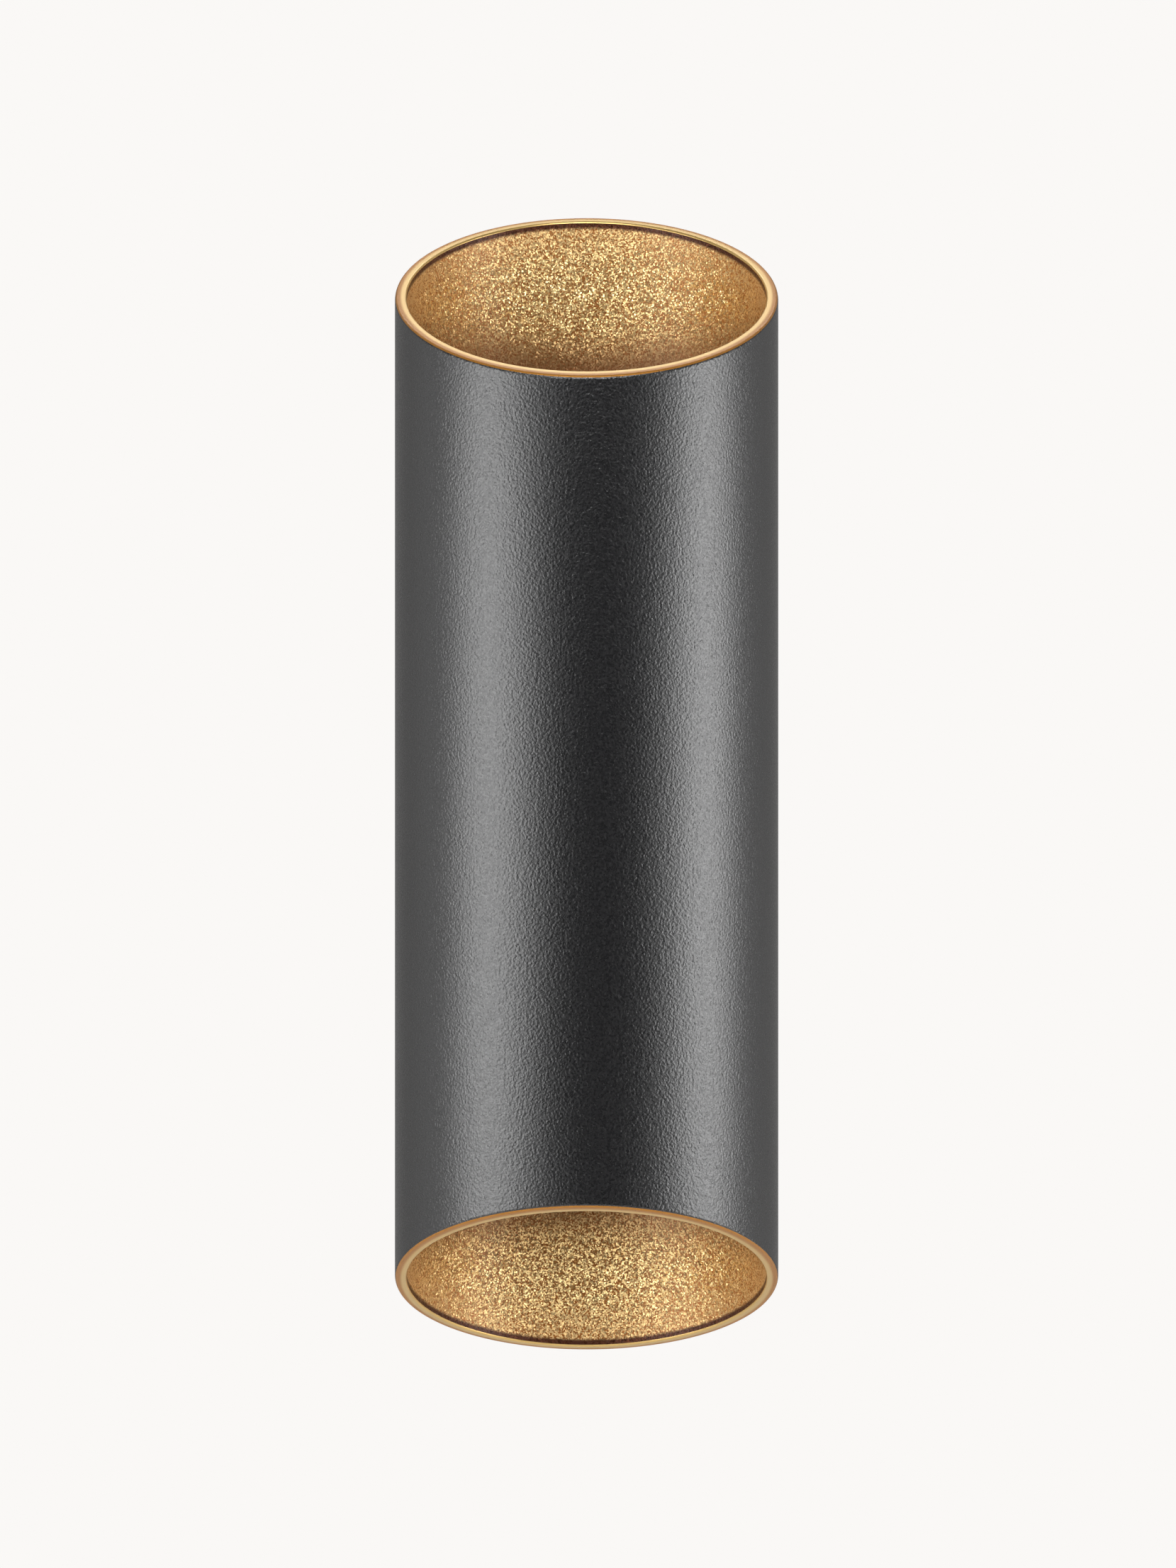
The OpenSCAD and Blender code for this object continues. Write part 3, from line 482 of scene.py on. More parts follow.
# Gold effect paint, sprayed dry: its flakes sparkle one by one.
GOLD_PAINT = FlakePaint("Sprayed gold flake paint", "gold_paint", "#ffe0a0", 0.5, metallic=0.4, tilt=1.1,
                        share=0.7)
# The same paint where it has flowed over the cut edge and lies wet and even; paler by the bore, partly a
# painted highlight.
GOLD_RIM = RimPaint("Gold paint on the cut rim", "gold_paint", "#d6b26c", 0.32, metallic=0.75)
# The same paint on the small turned covers, where it lies thinner and more even, with painted shade set to
# their depth.
GOLD_SMOOTH = FlakePaint("Gold flake paint on turned covers", "gold_paint", "#f0cd92", 0.45, metallic=0.5,
                         tilt=0.4, deep="#b07a38", deep_z=(40 * MM, 110 * MM), painted_shadow_z=(0.0, 80 * MM))
# Moulded rubber: dark, dull, with a faint bloom.
RUBBER = Clouded("Moulded black rubber", "black_rubber", "#19191a", 0.62, second="#232324", cloud=4 * MM,
                 grain=0.4 * MM, depth=0.012 * MM)
# Closed-cell foam: dull, with cells of 0.7 mm, their real size.
FOAM = Clouded("Closed-cell foam strip", "black_rubber", "#1c1c1d", 0.85, second="#29292b", cloud=2 * MM,
               grain=0.7 * MM, depth=0.12 * MM)
# Bright zinc on pressed steel: bluish, clouded, a little dull.
ZINC = Clouded("Zinc-plated pressed steel", "zinc_steel", "#b4b8bd", 0.34, metallic=1.0, second="#989ca2",
               cloud=5 * MM, grain=0.35 * MM, depth=0.006 * MM)
# Stainless screws: turned, cleaner and warmer than zinc.
STAINLESS = Clouded("Turned stainless steel", "stainless", "#c3c1bc", 0.24, metallic=1.0, second="#b1afaa",
                    cloud=1.5 * MM, grain=0.15 * MM, depth=0.003 * MM)
# Turned brass: yellow, with faint tarnish.
BRASS = Clouded("Turned brass", "brass", "#cda65a", 0.26, metallic=1.0, second="#b08a45", cloud=3 * MM,
                grain=0.15 * MM, depth=0.003 * MM)
# Fired steatite: creamy, dense, a fine dull skin.
CERAMIC = Clouded("Fired steatite ceramic", "ceramic", "#e8e2d5", 0.42, ior=1.6, second="#ddd5c5",
                  cloud=4 * MM, grain=0.25 * MM, depth=0.006 * MM)
# Moulded thermoplastic of the lamp: warm white, silky.
LAMP_WHITE = Clouded("Moulded white lamp plastic", "lamp_white", "#e6e5e1", 0.45, second="#dedcd6",
                     cloud=8 * MM, grain=0.3 * MM, depth=0.006 * MM)
# Moulded polyamide of the terminal block: white, slightly waxy.
TERMINAL_WHITE = Clouded("Moulded polyamide", "terminal_white", "#e9e8e3", 0.5, ior=1.53, second="#e0ded6",
                         cloud=6 * MM, grain=0.35 * MM, depth=0.008 * MM)
# Injection-moulded acrylic: clear with a little milk in it, so that its small lenses show.
LENS = ClearBody("Moulded acrylic lens", "lamp_lens", "#f6f6f2", 0.16, ior=1.49, clear=0.6)
# Toughened soda glass: clear, with its green only in the ground edge.
GLASS = ClearBody("Toughened clear glass", "clear_glass", "#fafdfb", 0.0, ior=1.52)
# Silicone rubber drawn over copper: evenly coloured, with a waxy sheen.
LIVE = Clouded("Brown wire insulation", "live_brown", "#7a4a2a", 0.4, second="#6e4225", cloud=3 * MM,
               grain=0.3 * MM, depth=0.004 * MM)
NEUTRAL = Clouded("Blue wire insulation", "neutral_blue", "#2f5f9e", 0.4, second="#2a5590", cloud=3 * MM,
                  grain=0.3 * MM, depth=0.004 * MM)
# The earth wire's sleeve is made the same way, from two colours at once, so its stripe has a clean edge.
EARTH = StripedSleeve("Green and yellow wire insulation", "earth_green", "#3f8f3f", 0.4)


class Piece:
    """A mesh on the bench, which the modelling operators shape."""

    def __init__(self, name: str) -> None:
        """Names what an operator has just added, and puts its place into its mesh.

        Args:
            name: The piece's name.
        """
        self.thing = bpy.context.object
        self.thing.name = name
        self.thing.data.name = name
        bpy.ops.object.transform_apply(location=True, rotation=True, scale=True)

    @staticmethod
    def clear_bench() -> None:
        """Leaves nothing selected, in object mode."""
        if bpy.context.object and bpy.context.object.mode != "OBJECT":
            bpy.ops.object.mode_set(mode="OBJECT")
        bpy.ops.object.select_all(action="DESELECT")

    @classmethod
    def rod(
        cls, name: str, radius: float, ends: Span, centre: Span, along: Along = Along.Z, sides: int = 96,
        closed: bool = True
    ) -> "Piece":
        """Adds a cylinder to shape.

        Args:
            name: The piece's name.
            radius: Its radius.
            ends: Where it starts and ends along its axis.
            centre: The other two coordinates of its axis, in the order X, Y, Z.
            along: The axis that it lies along.
            sides: How many sides it has.
            closed: Whether it has end faces.

        Returns:
            The piece.
        """
        cls.clear_bench()
        spot = list(centre)
        spot.insert("XYZ".index(along.name), sum(ends) / 2)
        bpy.ops.mesh.primitive_cylinder_add(
            vertices=sides, radius=radius, depth=ends[1] - ends[0], location=spot, rotation=along.value,
            end_fill_type="NGON" if closed else "NOTHING")
        return cls(name)

    @classmethod
    def block(cls, name: str, low: Place, high: Place) -> "Piece":
        """Adds a block to shape.

        Args:
            name: The piece's name.
            low: Its lowest corner.
            high: Its highest corner.

        Returns:
            The piece.
        """
        cls.clear_bench()
        middle = [(a + b) / 2 for a, b in zip(low, high)]
        size = [b - a for a, b in zip(low, high)]
        bpy.ops.mesh.primitive_cube_add(size=1, location=middle, scale=size)
        return cls(name)

    @classmethod
    def hoop(cls, name: str, inside: float, outside: float, ends: Span, sides: int = 192) -> "Piece":
        """Adds a flat ring round the tube's axis.

        Args:
            name: The piece's name.
            inside: The radius of its hole.
            outside: Its outer radius.
            ends: Where it starts and ends in Z.
            sides: How many sides it has.

        Returns:
            The piece.
        """
        made = cls.rod(name, outside, ends, (0, AXIS_Y), sides=sides)
        made.pick_faces(lambda centre, normal: abs(normal.z) > 0.9)
        bpy.ops.mesh.inset(thickness=outside - inside)
        bpy.ops.mesh.bridge_edge_loops()
        cls.clear_bench()
        return made

    def take(self) -> None:
        """Makes this piece the only one selected."""
        self.clear_bench()
        self.thing.select_set(True)
        bpy.context.view_layer.objects.active = self.thing

    def pick(self, part: Part, chosen: list[bool]) -> None:
        """Goes into edit mode with nothing but what is chosen selected.

        Args:
            part: Whether edges or faces are chosen.
            chosen: For each one in the mesh, whether it is.
        """
        mesh = self.thing.data
        for kind in ("vertices", "edges", "polygons"):
            elements = getattr(mesh, kind)
            elements.foreach_set("select", chosen if kind == part.value else [False] * len(elements))
        bpy.context.tool_settings.mesh_select_mode = (False, part is Part.EDGES, part is Part.FACES)
        bpy.ops.object.mode_set(mode="EDIT")

    def pick_faces(self, test: Test) -> None:
        """Goes into edit mode with the faces selected whose centre and normal pass a test."""
        self.take()
        self.pick(Part.FACES, [test(face.center, face.normal) for face in self.thing.data.polygons])

    def pick_edges(self, test: Test) -> None:
        """Goes into edit mode with the edges selected whose two ends pass a test.

        Args:
            test: The test of an edge's two ends.
        """
        self.take()
        points = [vertex.co for vertex in self.thing.data.vertices]
        self.pick(Part.EDGES, [test(*(points[i] for i in edge.vertices)) for edge in self.thing.data.edges])

    def round_edges(self, test: Test, width: float, steps: int = 3) -> None:
        """Rounds the edges whose two ends pass a test.

        Args:
            test: The test of an edge's two ends.
            width: How far the rounding reaches from the edge.
            steps: How many faces it has across.
        """
        self.pick_edges(test)
        bpy.ops.mesh.bevel(offset=width, segments=steps, affect="EDGES", profile=0.5)
        self.clear_bench()

    def modify(self, kind: str, **settings: object) -> None:
        """Applies a modifier to the mesh.

        Args:
            kind: The modifier's type.
            settings: Its own attributes.
        """
        self.take()
        modifier = self.thing.modifiers.new(kind.lower(), kind)
        for name, value in settings.items():
            setattr(modifier, name, value)
        bpy.ops.object.modifier_apply(modifier=modifier.name)

    def discard(self) -> None:
        """Clears the piece away with its mesh."""
        mesh = self.thing.data
        bpy.data.objects.remove(self.thing)
        bpy.data.meshes.remove(mesh)

    def combine(self, others: Iterable["Piece"], how: Joining = Joining.CUT_OUT) -> None:
        """Cuts other pieces out of this one, or melts them into it, and clears them away.

        Args:
            others: The pieces that are used up.
            how: How they are combined with this one.
        """
        for other in others:
            self.modify("BOOLEAN", operation=how.value, object=other.thing, solver="EXACT")
            other.discard()

    def weld(self, gap: float = 0.002 * MM) -> None:
        """Merges points that lie on each other, as at a seam or a cap.

        Args:
            gap: How far apart such points may be.
        """
        self.take()
        bpy.ops.object.mode_set(mode="EDIT")
        bpy.ops.mesh.select_all(action="SELECT")
        bpy.ops.mesh.remove_doubles(threshold=gap)
        self.clear_bench()

    def join(self, others: Iterable["Piece"]) -> None:
        """Puts other pieces' meshes into this piece, as loose parts of it.

        Args:
            others: The pieces that are used up.
        """
        self.take()
        for other in others:
            other.thing.select_set(True)
        bpy.ops.object.join()

    def copy(self, name: str, place: Matrix) -> "Piece":
        """Copies the piece with a mesh of its own.

        Args:
            name: The copy's name.
            place: What moves the mesh into place.

        Returns:
            The copy.
        """
        self.take()
        bpy.ops.object.duplicate(linked=False)
        made = Piece(name)
        made.thing.data.transform(place)
        return made

    def smooth(self, angle: float = 35.0) -> "Piece":
        """Shades the mesh smooth, but for edges sharper than an angle, with flat faces kept flat.

        Args:
            angle: The angle, in degrees.

        Returns:
            This piece.
        """
        self.take()
        bpy.ops.object.shade_smooth_by_angle(angle=math.radians(angle))
        self.modify("WEIGHTED_NORMAL", keep_sharp=True)
        return self

    def paint(self, finish: Finish, *more: tuple[Finish, Test]) -> "Piece":
        """Gives the piece its finish.

        Args:
            finish: What it has all over, and where its slot comes from.
            more: Other finishes, each with the test of a face's centre and normal that says where it lies.

        Returns:
            This piece.
        """
        mesh = self.thing.data
        mesh.materials.clear()
        for number, (layer, test) in enumerate([(finish, anywhere), *more]):
            mesh.materials.append(layer.material())
            for face in mesh.polygons:
                if test(face.center, face.normal):
                    face.material_index = number
        return self

    def fit(self, body: str, *nodes: str) -> None:
        """Hangs the piece on its body, in place of the nodes that it stands for.

        Args:
            body: The body that it rides on.
            nodes: The nodes that it replaces.
        """
        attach(self.thing, body)
        if nodes:
            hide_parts(*nodes)
        LOG.info("%s rides on %s", self.thing.name, body)


def from_axis(point: Vector) -> float:
    """Gives a point's distance from the tube's axis."""
    return math.hypot(point.x, point.y - AXIS_Y)


def anywhere(first: Vector, second: Vector) -> bool:
    """Passes every face or edge."""
    return True


def is_level(a: Vector, b: Vector) -> bool:
    """Passes an edge whose two ends are at the same height."""
    return abs(a.z - b.z) < NEAR


def edge_at(radius: float, z: float, near: float = NEAR) -> Test:
    """Makes the test for edges of a circle round the tube's axis, by its radius and height."""
    return lambda a, b: all(abs(p.z - z) < near and abs(from_axis(p) - radius) < 4 * near for p in (a, b))


def dress(finish: Finish, *nodes: str) -> None:
    """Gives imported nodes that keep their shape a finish.

    Args:
        finish: The finish.
        nodes: The nodes' names.
    """
    for name in nodes:
        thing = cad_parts[name]
        if not thing.material_slots:
            thing.data.materials.append(None)
        for slot in thing.material_slots:
            slot.material = finish.material()
        LOG.info("%s is dressed in %s", name, finish.name)


@dataclass(frozen=True)
class Softbox:
    """A lamp panel, by the way that it lies from the object, in degrees, its size and how bright it looks."""

    name: str
    azimuth: float
    elevation: float
    width: float
    height: float
    glow: float
    distance: float = 1.5

    def light(self) -> None:
        """Puts the lamp up, facing the object."""
        a, e = math.radians(self.azimuth), math.radians(self.elevation)
        out = Vector((math.sin(a) * math.cos(e), -math.cos(a) * math.cos(e), math.sin(e)))
        data = bpy.data.lights.new(self.name, "AREA")
        data.shape = "RECTANGLE"
        data.size = self.width
        data.size_y = self.height
        data.energy = self.glow * math.pi * self.width * self.height
        lamp = bpy.data.objects.new(self.name, data)
        lamp.location = Vector((0, AXIS_Y, 0)) + out * self.distance
        lamp.rotation_euler = out.to_track_quat("Z", "Y").to_euler()
        lamp.visible_camera = False
        bpy.context.scene.collection.objects.link(lamp)


@dataclass
class Studio:
    """The camera, the pale room and its soft lamps.

    The tall softboxes draw the bright bands down the coat's sides, and the panels fill in beside them. The
    corner softboxes light the gold through the two mouths, and the back ones light the rims at the wall.

    Attributes:
        fill: How bright the room is for rough surfaces.
        gloss: How bright the room behind the wall is in a reflection. In front it is dark there.
        turn: How far on both sides of the middle the room goes from dark to that.
        melt: From the first share of its radius to the second, the floor comes to look as the room does.
        melt_from: How far it looks so at its middle.
    """

    camera_y: float = -708 * MM
    camera_z: float = 12.65 * MM
    lens: float = 55.1
    sensor: float = 36.0
    shift_x: float = 0.0009
    shift_y: float = -0.0287
    backdrop: str = "#faf8f6"
    floor_z: float = -0.85
    floor_r: float = 1.3
    fill: float = 0.08
    gloss: float = 0.3
    turn: float = 0.3
    melt: Span = (0.3, 0.98)
    melt_from: float = 0.55
    lamps: tuple[Softbox, ...] = (
        Softbox("Left softbox", -59, 0, 1.0, 1.5, 5.0),
        Softbox("Right softbox", 73, 0, 0.8, 1.5, 6.0),
        Softbox("Left side panel", -103, 0, 0.8, 1.5, 0.5),
        Softbox("Right side panel", 112, 0, 0.7, 1.5, 0.3),
        Softbox("Left inner panel", -32, 0, 0.45, 1.0, 1.2),
        Softbox("Right inner panel", 47, 0, 0.4, 1.0, 1.1),
        Softbox("High left corner softbox", -16, 47, 0.5, 0.4, 8.0),
        Softbox("Low left corner softbox", -16, -47, 0.5, 0.4, 8.0),
        Softbox("High right corner softbox", 12, 47, 0.5, 0.4, 10.5),
        Softbox("Low right corner softbox", 12, -47, 0.5, 0.4, 10.5),
        Softbox("High back softbox", 180, 60, 1.2, 0.15, 5.0),
        Softbox("Low back softbox", 180, -58, 1.2, 0.15, 5.0),
    )

    def camera(self) -> None:
        """Sets the camera up in front of the tube, level, with its view moved down a little."""
        data = bpy.data.cameras.new("Camera")
        data.lens = self.lens
        data.sensor_width = self.sensor
        data.shift_x = self.shift_x
        data.shift_y = self.shift_y
        thing = bpy.data.objects.new("Camera", data)
        thing.location = (0, self.camera_y, self.camera_z)
        thing.rotation_euler = (math.pi / 2, 0, 0)
        bpy.context.scene.collection.objects.link(thing)
        bpy.context.scene.camera = thing

    def room(self) -> None:
        """Makes the pale world: white to the camera and through glass, and dim as a light."""
        world = bpy.data.worlds.new("Pale room")
        bpy.context.scene.world = world
        world.use_nodes = True
        tree = world.node_tree
        tree.nodes.clear()
        rays = add_node(tree, "ShaderNodeLightPath").outputs
        place = add_node(tree, "ShaderNodeTexCoord").outputs["Generated"]
        ahead = add_node(tree, "ShaderNodeSeparateXYZ", {0: place}).outputs[1]
        behind = add_node(tree, "ShaderNodeMapRange", {0: ahead, 1: -self.turn, 2: self.turn, 4: self.gloss},
                          interpolation_type="SMOOTHSTEP")
        gloss = add_node(tree, "ShaderNodeMath", {0: rays["Is Glossy Ray"], 1: behind}, operation="MULTIPLY")
        clear = add_node(tree, "ShaderNodeMath", {0: rays["Is Camera Ray"], 1: rays["Is Transmission Ray"]},
                         operation="MAXIMUM")
        share = add_node(tree, "ShaderNodeMath", {0: clear, 1: gloss}, operation="MAXIMUM")
        dim, white = (
            add_node(tree, "ShaderNodeBackground", {"Color": linear(self.backdrop), "Strength": strength})
            for strength in (self.fill, 1.0))
        mixed = add_node(tree, "ShaderNodeMixShader", {0: share, 1: dim, 2: white})
        add_node(tree, "ShaderNodeOutputWorld", {"Surface": mixed})

    def floor(self) -> None:
        """Lays a round pale floor well below the lamp, which melts into the room at its edge."""
        Piece.clear_bench()
        bpy.ops.mesh.primitive_circle_add(
            vertices=96, radius=self.floor_r, fill_type="NGON", location=(0, AXIS_Y, self.floor_z))
        thing = Piece("Floor").thing
        material = bpy.data.materials.new("Pale floor")
        material.use_nodes = True
        tree = material.node_tree
        tree.nodes.clear()
        place = add_node(tree, "ShaderNodeTexCoord").outputs["Object"]
        flat = add_node(tree, "ShaderNodeMapping",
                        {"Vector": place, "Location": (0, -AXIS_Y, 0), "Scale": (1, 1, 0)})
        far = add_node(tree, "ShaderNodeVectorMath", {0: flat}, operation="LENGTH").outputs["Value"]
        start, end = (share * self.floor_r for share in self.melt)
        shine = add_node(tree, "ShaderNodeMapRange", {0: far, 1: start, 2: end, 3: self.melt_from, 4: 1.0},
                         interpolation_type="SMOOTHSTEP")
        paint = add_node(tree, "ShaderNodeBsdfDiffuse", {"Color": linear(self.backdrop)})
        glow = add_node(tree, "ShaderNodeEmission", {"Color": linear(self.backdrop), "Strength": 1.0})
        by_camera = add_node(tree, "ShaderNodeLightPath").outputs["Is Camera Ray"]
        seen = add_node(tree, "ShaderNodeMath", {0: by_camera, 1: shine}, operation="MULTIPLY")
        mixed = add_node(tree, "ShaderNodeMixShader", {0: seen, 1: paint, 2: glow})
        add_node(tree, "ShaderNodeOutputMaterial", {"Surface": mixed})
        thing.data.materials.append(material)

    def build(self) -> None:
        """Sets the whole studio up."""
        bpy.context.scene.view_settings.view_transform = "Standard"
        self.camera()
        self.room()
        self.floor()
        for lamp in self.lamps:
            lamp.light()
        LOG.info("the studio has %d lamps", len(self.lamps))


@dataclass
class Housing:
    """The tube, with its slanted ends and the holes in its back."""

    radius: float = 50 * MM
    wall: float = 3 * MM
    back_top: float = 160 * MM
    front_top: float = 100 * MM
    sides: int = 256
    inner_round: float = 0.5 * MM
    outer_round: float = 0.8 * MM
    coat_edge: float = 0.25 * MM
    bolt_z: float = 42 * MM
    bolt_hole: float = 5.3 * MM
    drain_z: float = 92 * MM
    drain_hole: float = 5 * MM
    wire_hole: float = 12.1 * MM

    def slant(self, side: int) -> tuple[Vector, Vector]:
        """Gives a point and the outward normal of the upper (1) or lower (-1) end cut."""
        normal = Vector((0, self.front_top - self.back_top, side * 2 * self.radius)).normalized()
        return Vector((0, AXIS_Y - self.radius, side * self.front_top)), normal

    def off_slant(self, point: Vector) -> float:
        """Gives a point's distance from the nearer end cut."""
        return min(abs((point - spot).dot(normal)) for spot, normal in map(self.slant, (1, -1)))

    def on_edge(self, radius: float) -> Test:
        """Makes the test for edges where an end cut meets the wall at a radius."""
        return lambda a, b: a.z * b.z > 0 and all(
            self.off_slant(p) < NEAR and abs(from_axis(p) - radius) < 0.1 * MM for p in (a, b))

    def back_hole(self, z: float, diameter: float) -> Piece:
        """Makes the cutter for a hole through the tube's back."""
        ends = (AXIS_Y + self.radius - 3 * self.wall, AXIS_Y + self.radius + self.wall)
        return Piece.rod("cutter", diameter / 2, ends, (0, z), Along.Y, 48)

    def in_bore(self, centre: Vector, normal: Vector) -> bool:
        """Passes a face of the tube's inner wall, up to its rounded rim."""
        bore = self.radius - self.wall
        return from_axis(centre) < bore + 0.1 * MM and self.off_slant(centre) > self.inner_round

    def on_rim(self, centre: Vector, normal: Vector) -> bool:
        """Passes a face of a cut rim, where the gold ends a little way over the outer rounding.

        Args:
            centre: The face's centre.
            normal: Its normal, which is not used.

        Returns:
            Whether the face is gold.
        """
        bore, radius, hair = self.radius - self.wall, from_axis(centre), 0.001 * MM
        reach = self.inner_round if radius < bore + self.wall / 2 else self.coat_edge
        return bore + hair < radius < self.radius - hair and self.off_slant(centre) <= reach

    def build(self) -> None:
        """Cuts the tube, rounds its rims, drills its back and paints it black and gold."""
        reach = self.back_top + 20 * MM
        tube = Piece.rod("lamp_tube", self.radius, (-reach, reach), (0, AXIS_Y), sides=self.sides,
                         closed=False)
        tube.modify("SOLIDIFY", thickness=self.wall, offset=-1, use_rim=False)
        for spot, normal in map(self.slant, (1, -1)):
            tube.pick_faces(anywhere)
            bpy.ops.mesh.bisect(plane_co=spot, plane_no=normal, clear_outer=True)
            bpy.ops.mesh.bridge_edge_loops()
        tube.round_edges(self.on_edge(self.radius - self.wall), self.inner_round, 5)
        tube.round_edges(self.on_edge(self.radius), self.outer_round, 5)
        tube.combine([self.back_hole(side * z, d) for side in (1, -1) for z, d in (
            (self.bolt_z, self.bolt_hole), (self.drain_z, self.drain_hole))])
        tube.combine([self.back_hole(0, self.wire_hole)])
        tube.smooth()
        tube.paint(BLACK_COAT, (GOLD_PAINT, self.in_bore), (GOLD_RIM, self.on_rim))
        tube.fit("root", "housing_tube")


@dataclass
class SocketScrew:
    """A low-headed screw with a hexagon socket, by its thread's diameter and its length under the head.

    Each share is one of the thread's diameter. The two roundings and socket_floor are shares of the head's
    height.
    """

    size: float
    length: float
    head_share: float = 1.8
    height_share: float = 0.6
    socket_share: float = 0.65
    shank_r_share: float = 0.455
    tip_share: float = 0.12
    head_round: float = 0.6
    foot_round: float = 0.1
    socket_floor: float = 0.35

    def build(self, name: str, place: Matrix) -> Piece:
        """Turns the screw, cuts its socket and puts it in place.

        Args:
            name: The piece's name.
            place: What brings it from upright, with the seat of its head at the origin, to its place.

        Returns:
            The screw.
        """
        height = self.height_share * self.size
        screw = Piece.rod(name, self.head_share * self.size / 2, (0, height), (0, 0), sides=64)
        screw.round_edges(lambda a, b: min(a.z, b.z) > 0.9 * height, self.head_round * height, 5)
        screw.round_edges(lambda a, b: max(a.z, b.z) < 0.1 * height, self.foot_round * height, 1)
        ends = (-self.length, 0.2 * height)
        shank = Piece.rod("shank", self.shank_r_share * self.size, ends, (0, 0), sides=48)
        shank.round_edges(lambda a, b: max(a.z, b.z) < -0.9 * self.length, self.tip_share * self.size, 1)
        screw.combine([shank], Joining.MELT_IN)
        across = self.socket_share * self.size / math.sqrt(3)
        socket = (self.socket_floor * height, 2 * height)
        screw.combine([Piece.rod("cutter", across, socket, (0, 0), sides=6)])
        screw.thing.data.transform(place)
        return screw.smooth(40).paint(STAINLESS)


@dataclass
class GlassCover:
    """What closes each end of the tube: a gold tray, a glass disc, its clamping ring and three screws."""

    radius: float = 46.7 * MM
    hole_r: float = 25.8 * MM
    floor_z: float = 78 * MM
    floor_t: float = 3 * MM
    rim_w: float = 6 * MM
    glass_r: float = 40.4 * MM
    glass_z: float = 83 * MM
    ring_z: float = 87 * MM
    ring_t: float = 2.5 * MM
    ring_in_r: float = 35.4 * MM
    ring_slope: float = 1.5 * MM
    groove_z: float = 82 * MM
    groove_h: float = 2.1 * MM
    groove_deep: float = 1.8 * MM
    pillar_x: float = 31.18 * MM
    sink_r: float = 2.8 * MM
    sink_hole_r: float = 1.65 * MM
    screw_r: float = 43.7 * MM
    screw_size: float = 2.5 * MM
    screw_len: float = 9.5 * MM
    screw_count: int = 3
    screw_slack: float = 0.1 * MM
    tapped: float = 8 * MM
    tap_share: float = 0.46
    seal_in_r: float = 36.9 * MM
    cord_r: float = 1 * MM
    cord_round: float = 0.85
    cord_gap: float = 0.05 * MM
    soft_edge: float = 0.3 * MM
    hole_round: float = 0.8 * MM
    glass_round: float = 0.4 * MM
    seal_round: float = 0.35 * MM

    def screw_places(self) -> list[Matrix]:
        """Gives the turn about the tube's axis for each screw, from the one by the wall.

        Returns:
            The turns.
        """
        middle = Matrix.Translation((0, AXIS_Y, 0))
        turns = (Matrix.Rotation(2 * math.pi * i / self.screw_count, 4, "Z") for i in range(self.screw_count))
        return [middle @ turn @ middle.inverted() for turn in turns]

    def bores(self, radius: float, ends: Span) -> list[Piece]:
        """Makes the cutters for the screws' holes."""
        first = Piece.rod("cutter", radius, ends, (0, AXIS_Y + self.screw_r), sides=24)
        return [first.copy("cutter", turn) for turn in self.screw_places()[1:]] + [first]

    def sinks(self) -> list[Piece]:
        """Makes the cutters for the two countersunk holes over the pillars.

        Returns:
            The cutters.
        """
        top = self.floor_z + self.floor_t
        over = 0.5 * MM
        made = []
        for x in (-self.pillar_x, self.pillar_x):
            ends = (top - self.sink_r, top + over)
            cone = Piece.rod("cutter", self.sink_r + over, ends, (x, AXIS_Y), sides=48)
            cone.pick_faces(lambda centre, normal: normal.z < -0.9)
            # The cone's tip is nearly a point, and lies within its bore.
            bpy.ops.transform.resize(value=(0.02, 0.02, 1), center_override=(x, AXIS_Y, top))
            ends = (self.floor_z - MM, top + over)
            bore = Piece.rod("cutter", self.sink_hole_r, ends, (x, AXIS_Y), sides=24)
            cone.combine([bore], Joining.MELT_IN)
            made.append(cone)
        return made

    def cut_groove(self, tray: Piece) -> None:
        """Turns the seal's groove into the tray's outside.

        Args:
            tray: The tray.
        """
        low, high = self.groove_z - self.groove_h / 2, self.groove_z + self.groove_h / 2
        outside = self.radius - 0.1 * MM
        for z in (low, high):
            tray.pick_faces(lambda centre, normal: abs(normal.z) < 0.1 and from_axis(centre) > outside)
            bpy.ops.mesh.bisect(plane_co=(0, 0, z), plane_no=(0, 0, 1))
        tray.pick_faces(lambda centre, normal: low < centre.z < high and from_axis(centre) > outside)
        share = 1 - self.groove_deep / self.radius
        bpy.ops.mesh.extrude_region_move()
        bpy.ops.transform.resize(value=(share, share, 1), center_override=(0, AXIS_Y, self.groove_z))

    def tray(self) -> Piece:
        """Turns the tray: a pocket for the glass, the lamp's hole, the seal's groove and the screws' holes.

        Returns:
            The tray.
        """
        top = self.floor_z + self.floor_t
        in_r = self.radius - self.rim_w
        tray = Piece.rod("upper_tray", self.radius, (self.floor_z, self.ring_z), (0, AXIS_Y), sides=192)
        tray.pick_faces(lambda centre, normal: normal.z > 0.9)
        bpy.ops.mesh.inset(thickness=self.rim_w)
        bpy.ops.mesh.extrude_region_move(TRANSFORM_OT_translate={"value": (0, 0, top - self.ring_z)})
        bpy.ops.mesh.inset(thickness=in_r - self.hole_r)
        tray.pick_faces(lambda centre, normal: normal.z < -0.9)
        bpy.ops.mesh.inset(thickness=self.radius - self.hole_r)
        tray.pick_faces(lambda centre, normal: abs(normal.z) > 0.9 and from_axis(centre) < MM)
        bpy.ops.mesh.bridge_edge_loops()
        for z, width in ((top, self.hole_round), (self.floor_z, self.soft_edge)):
            tray.round_edges(edge_at(self.hole_r, z), width)
        self.cut_groove(tray)
        tray.combine(self.sinks())
        tapped = (self.ring_z - self.tapped, self.ring_z + MM)
        tray.combine(self.bores(self.tap_share * self.screw_size, tapped))
        return tray.smooth().paint(GOLD_SMOOTH)

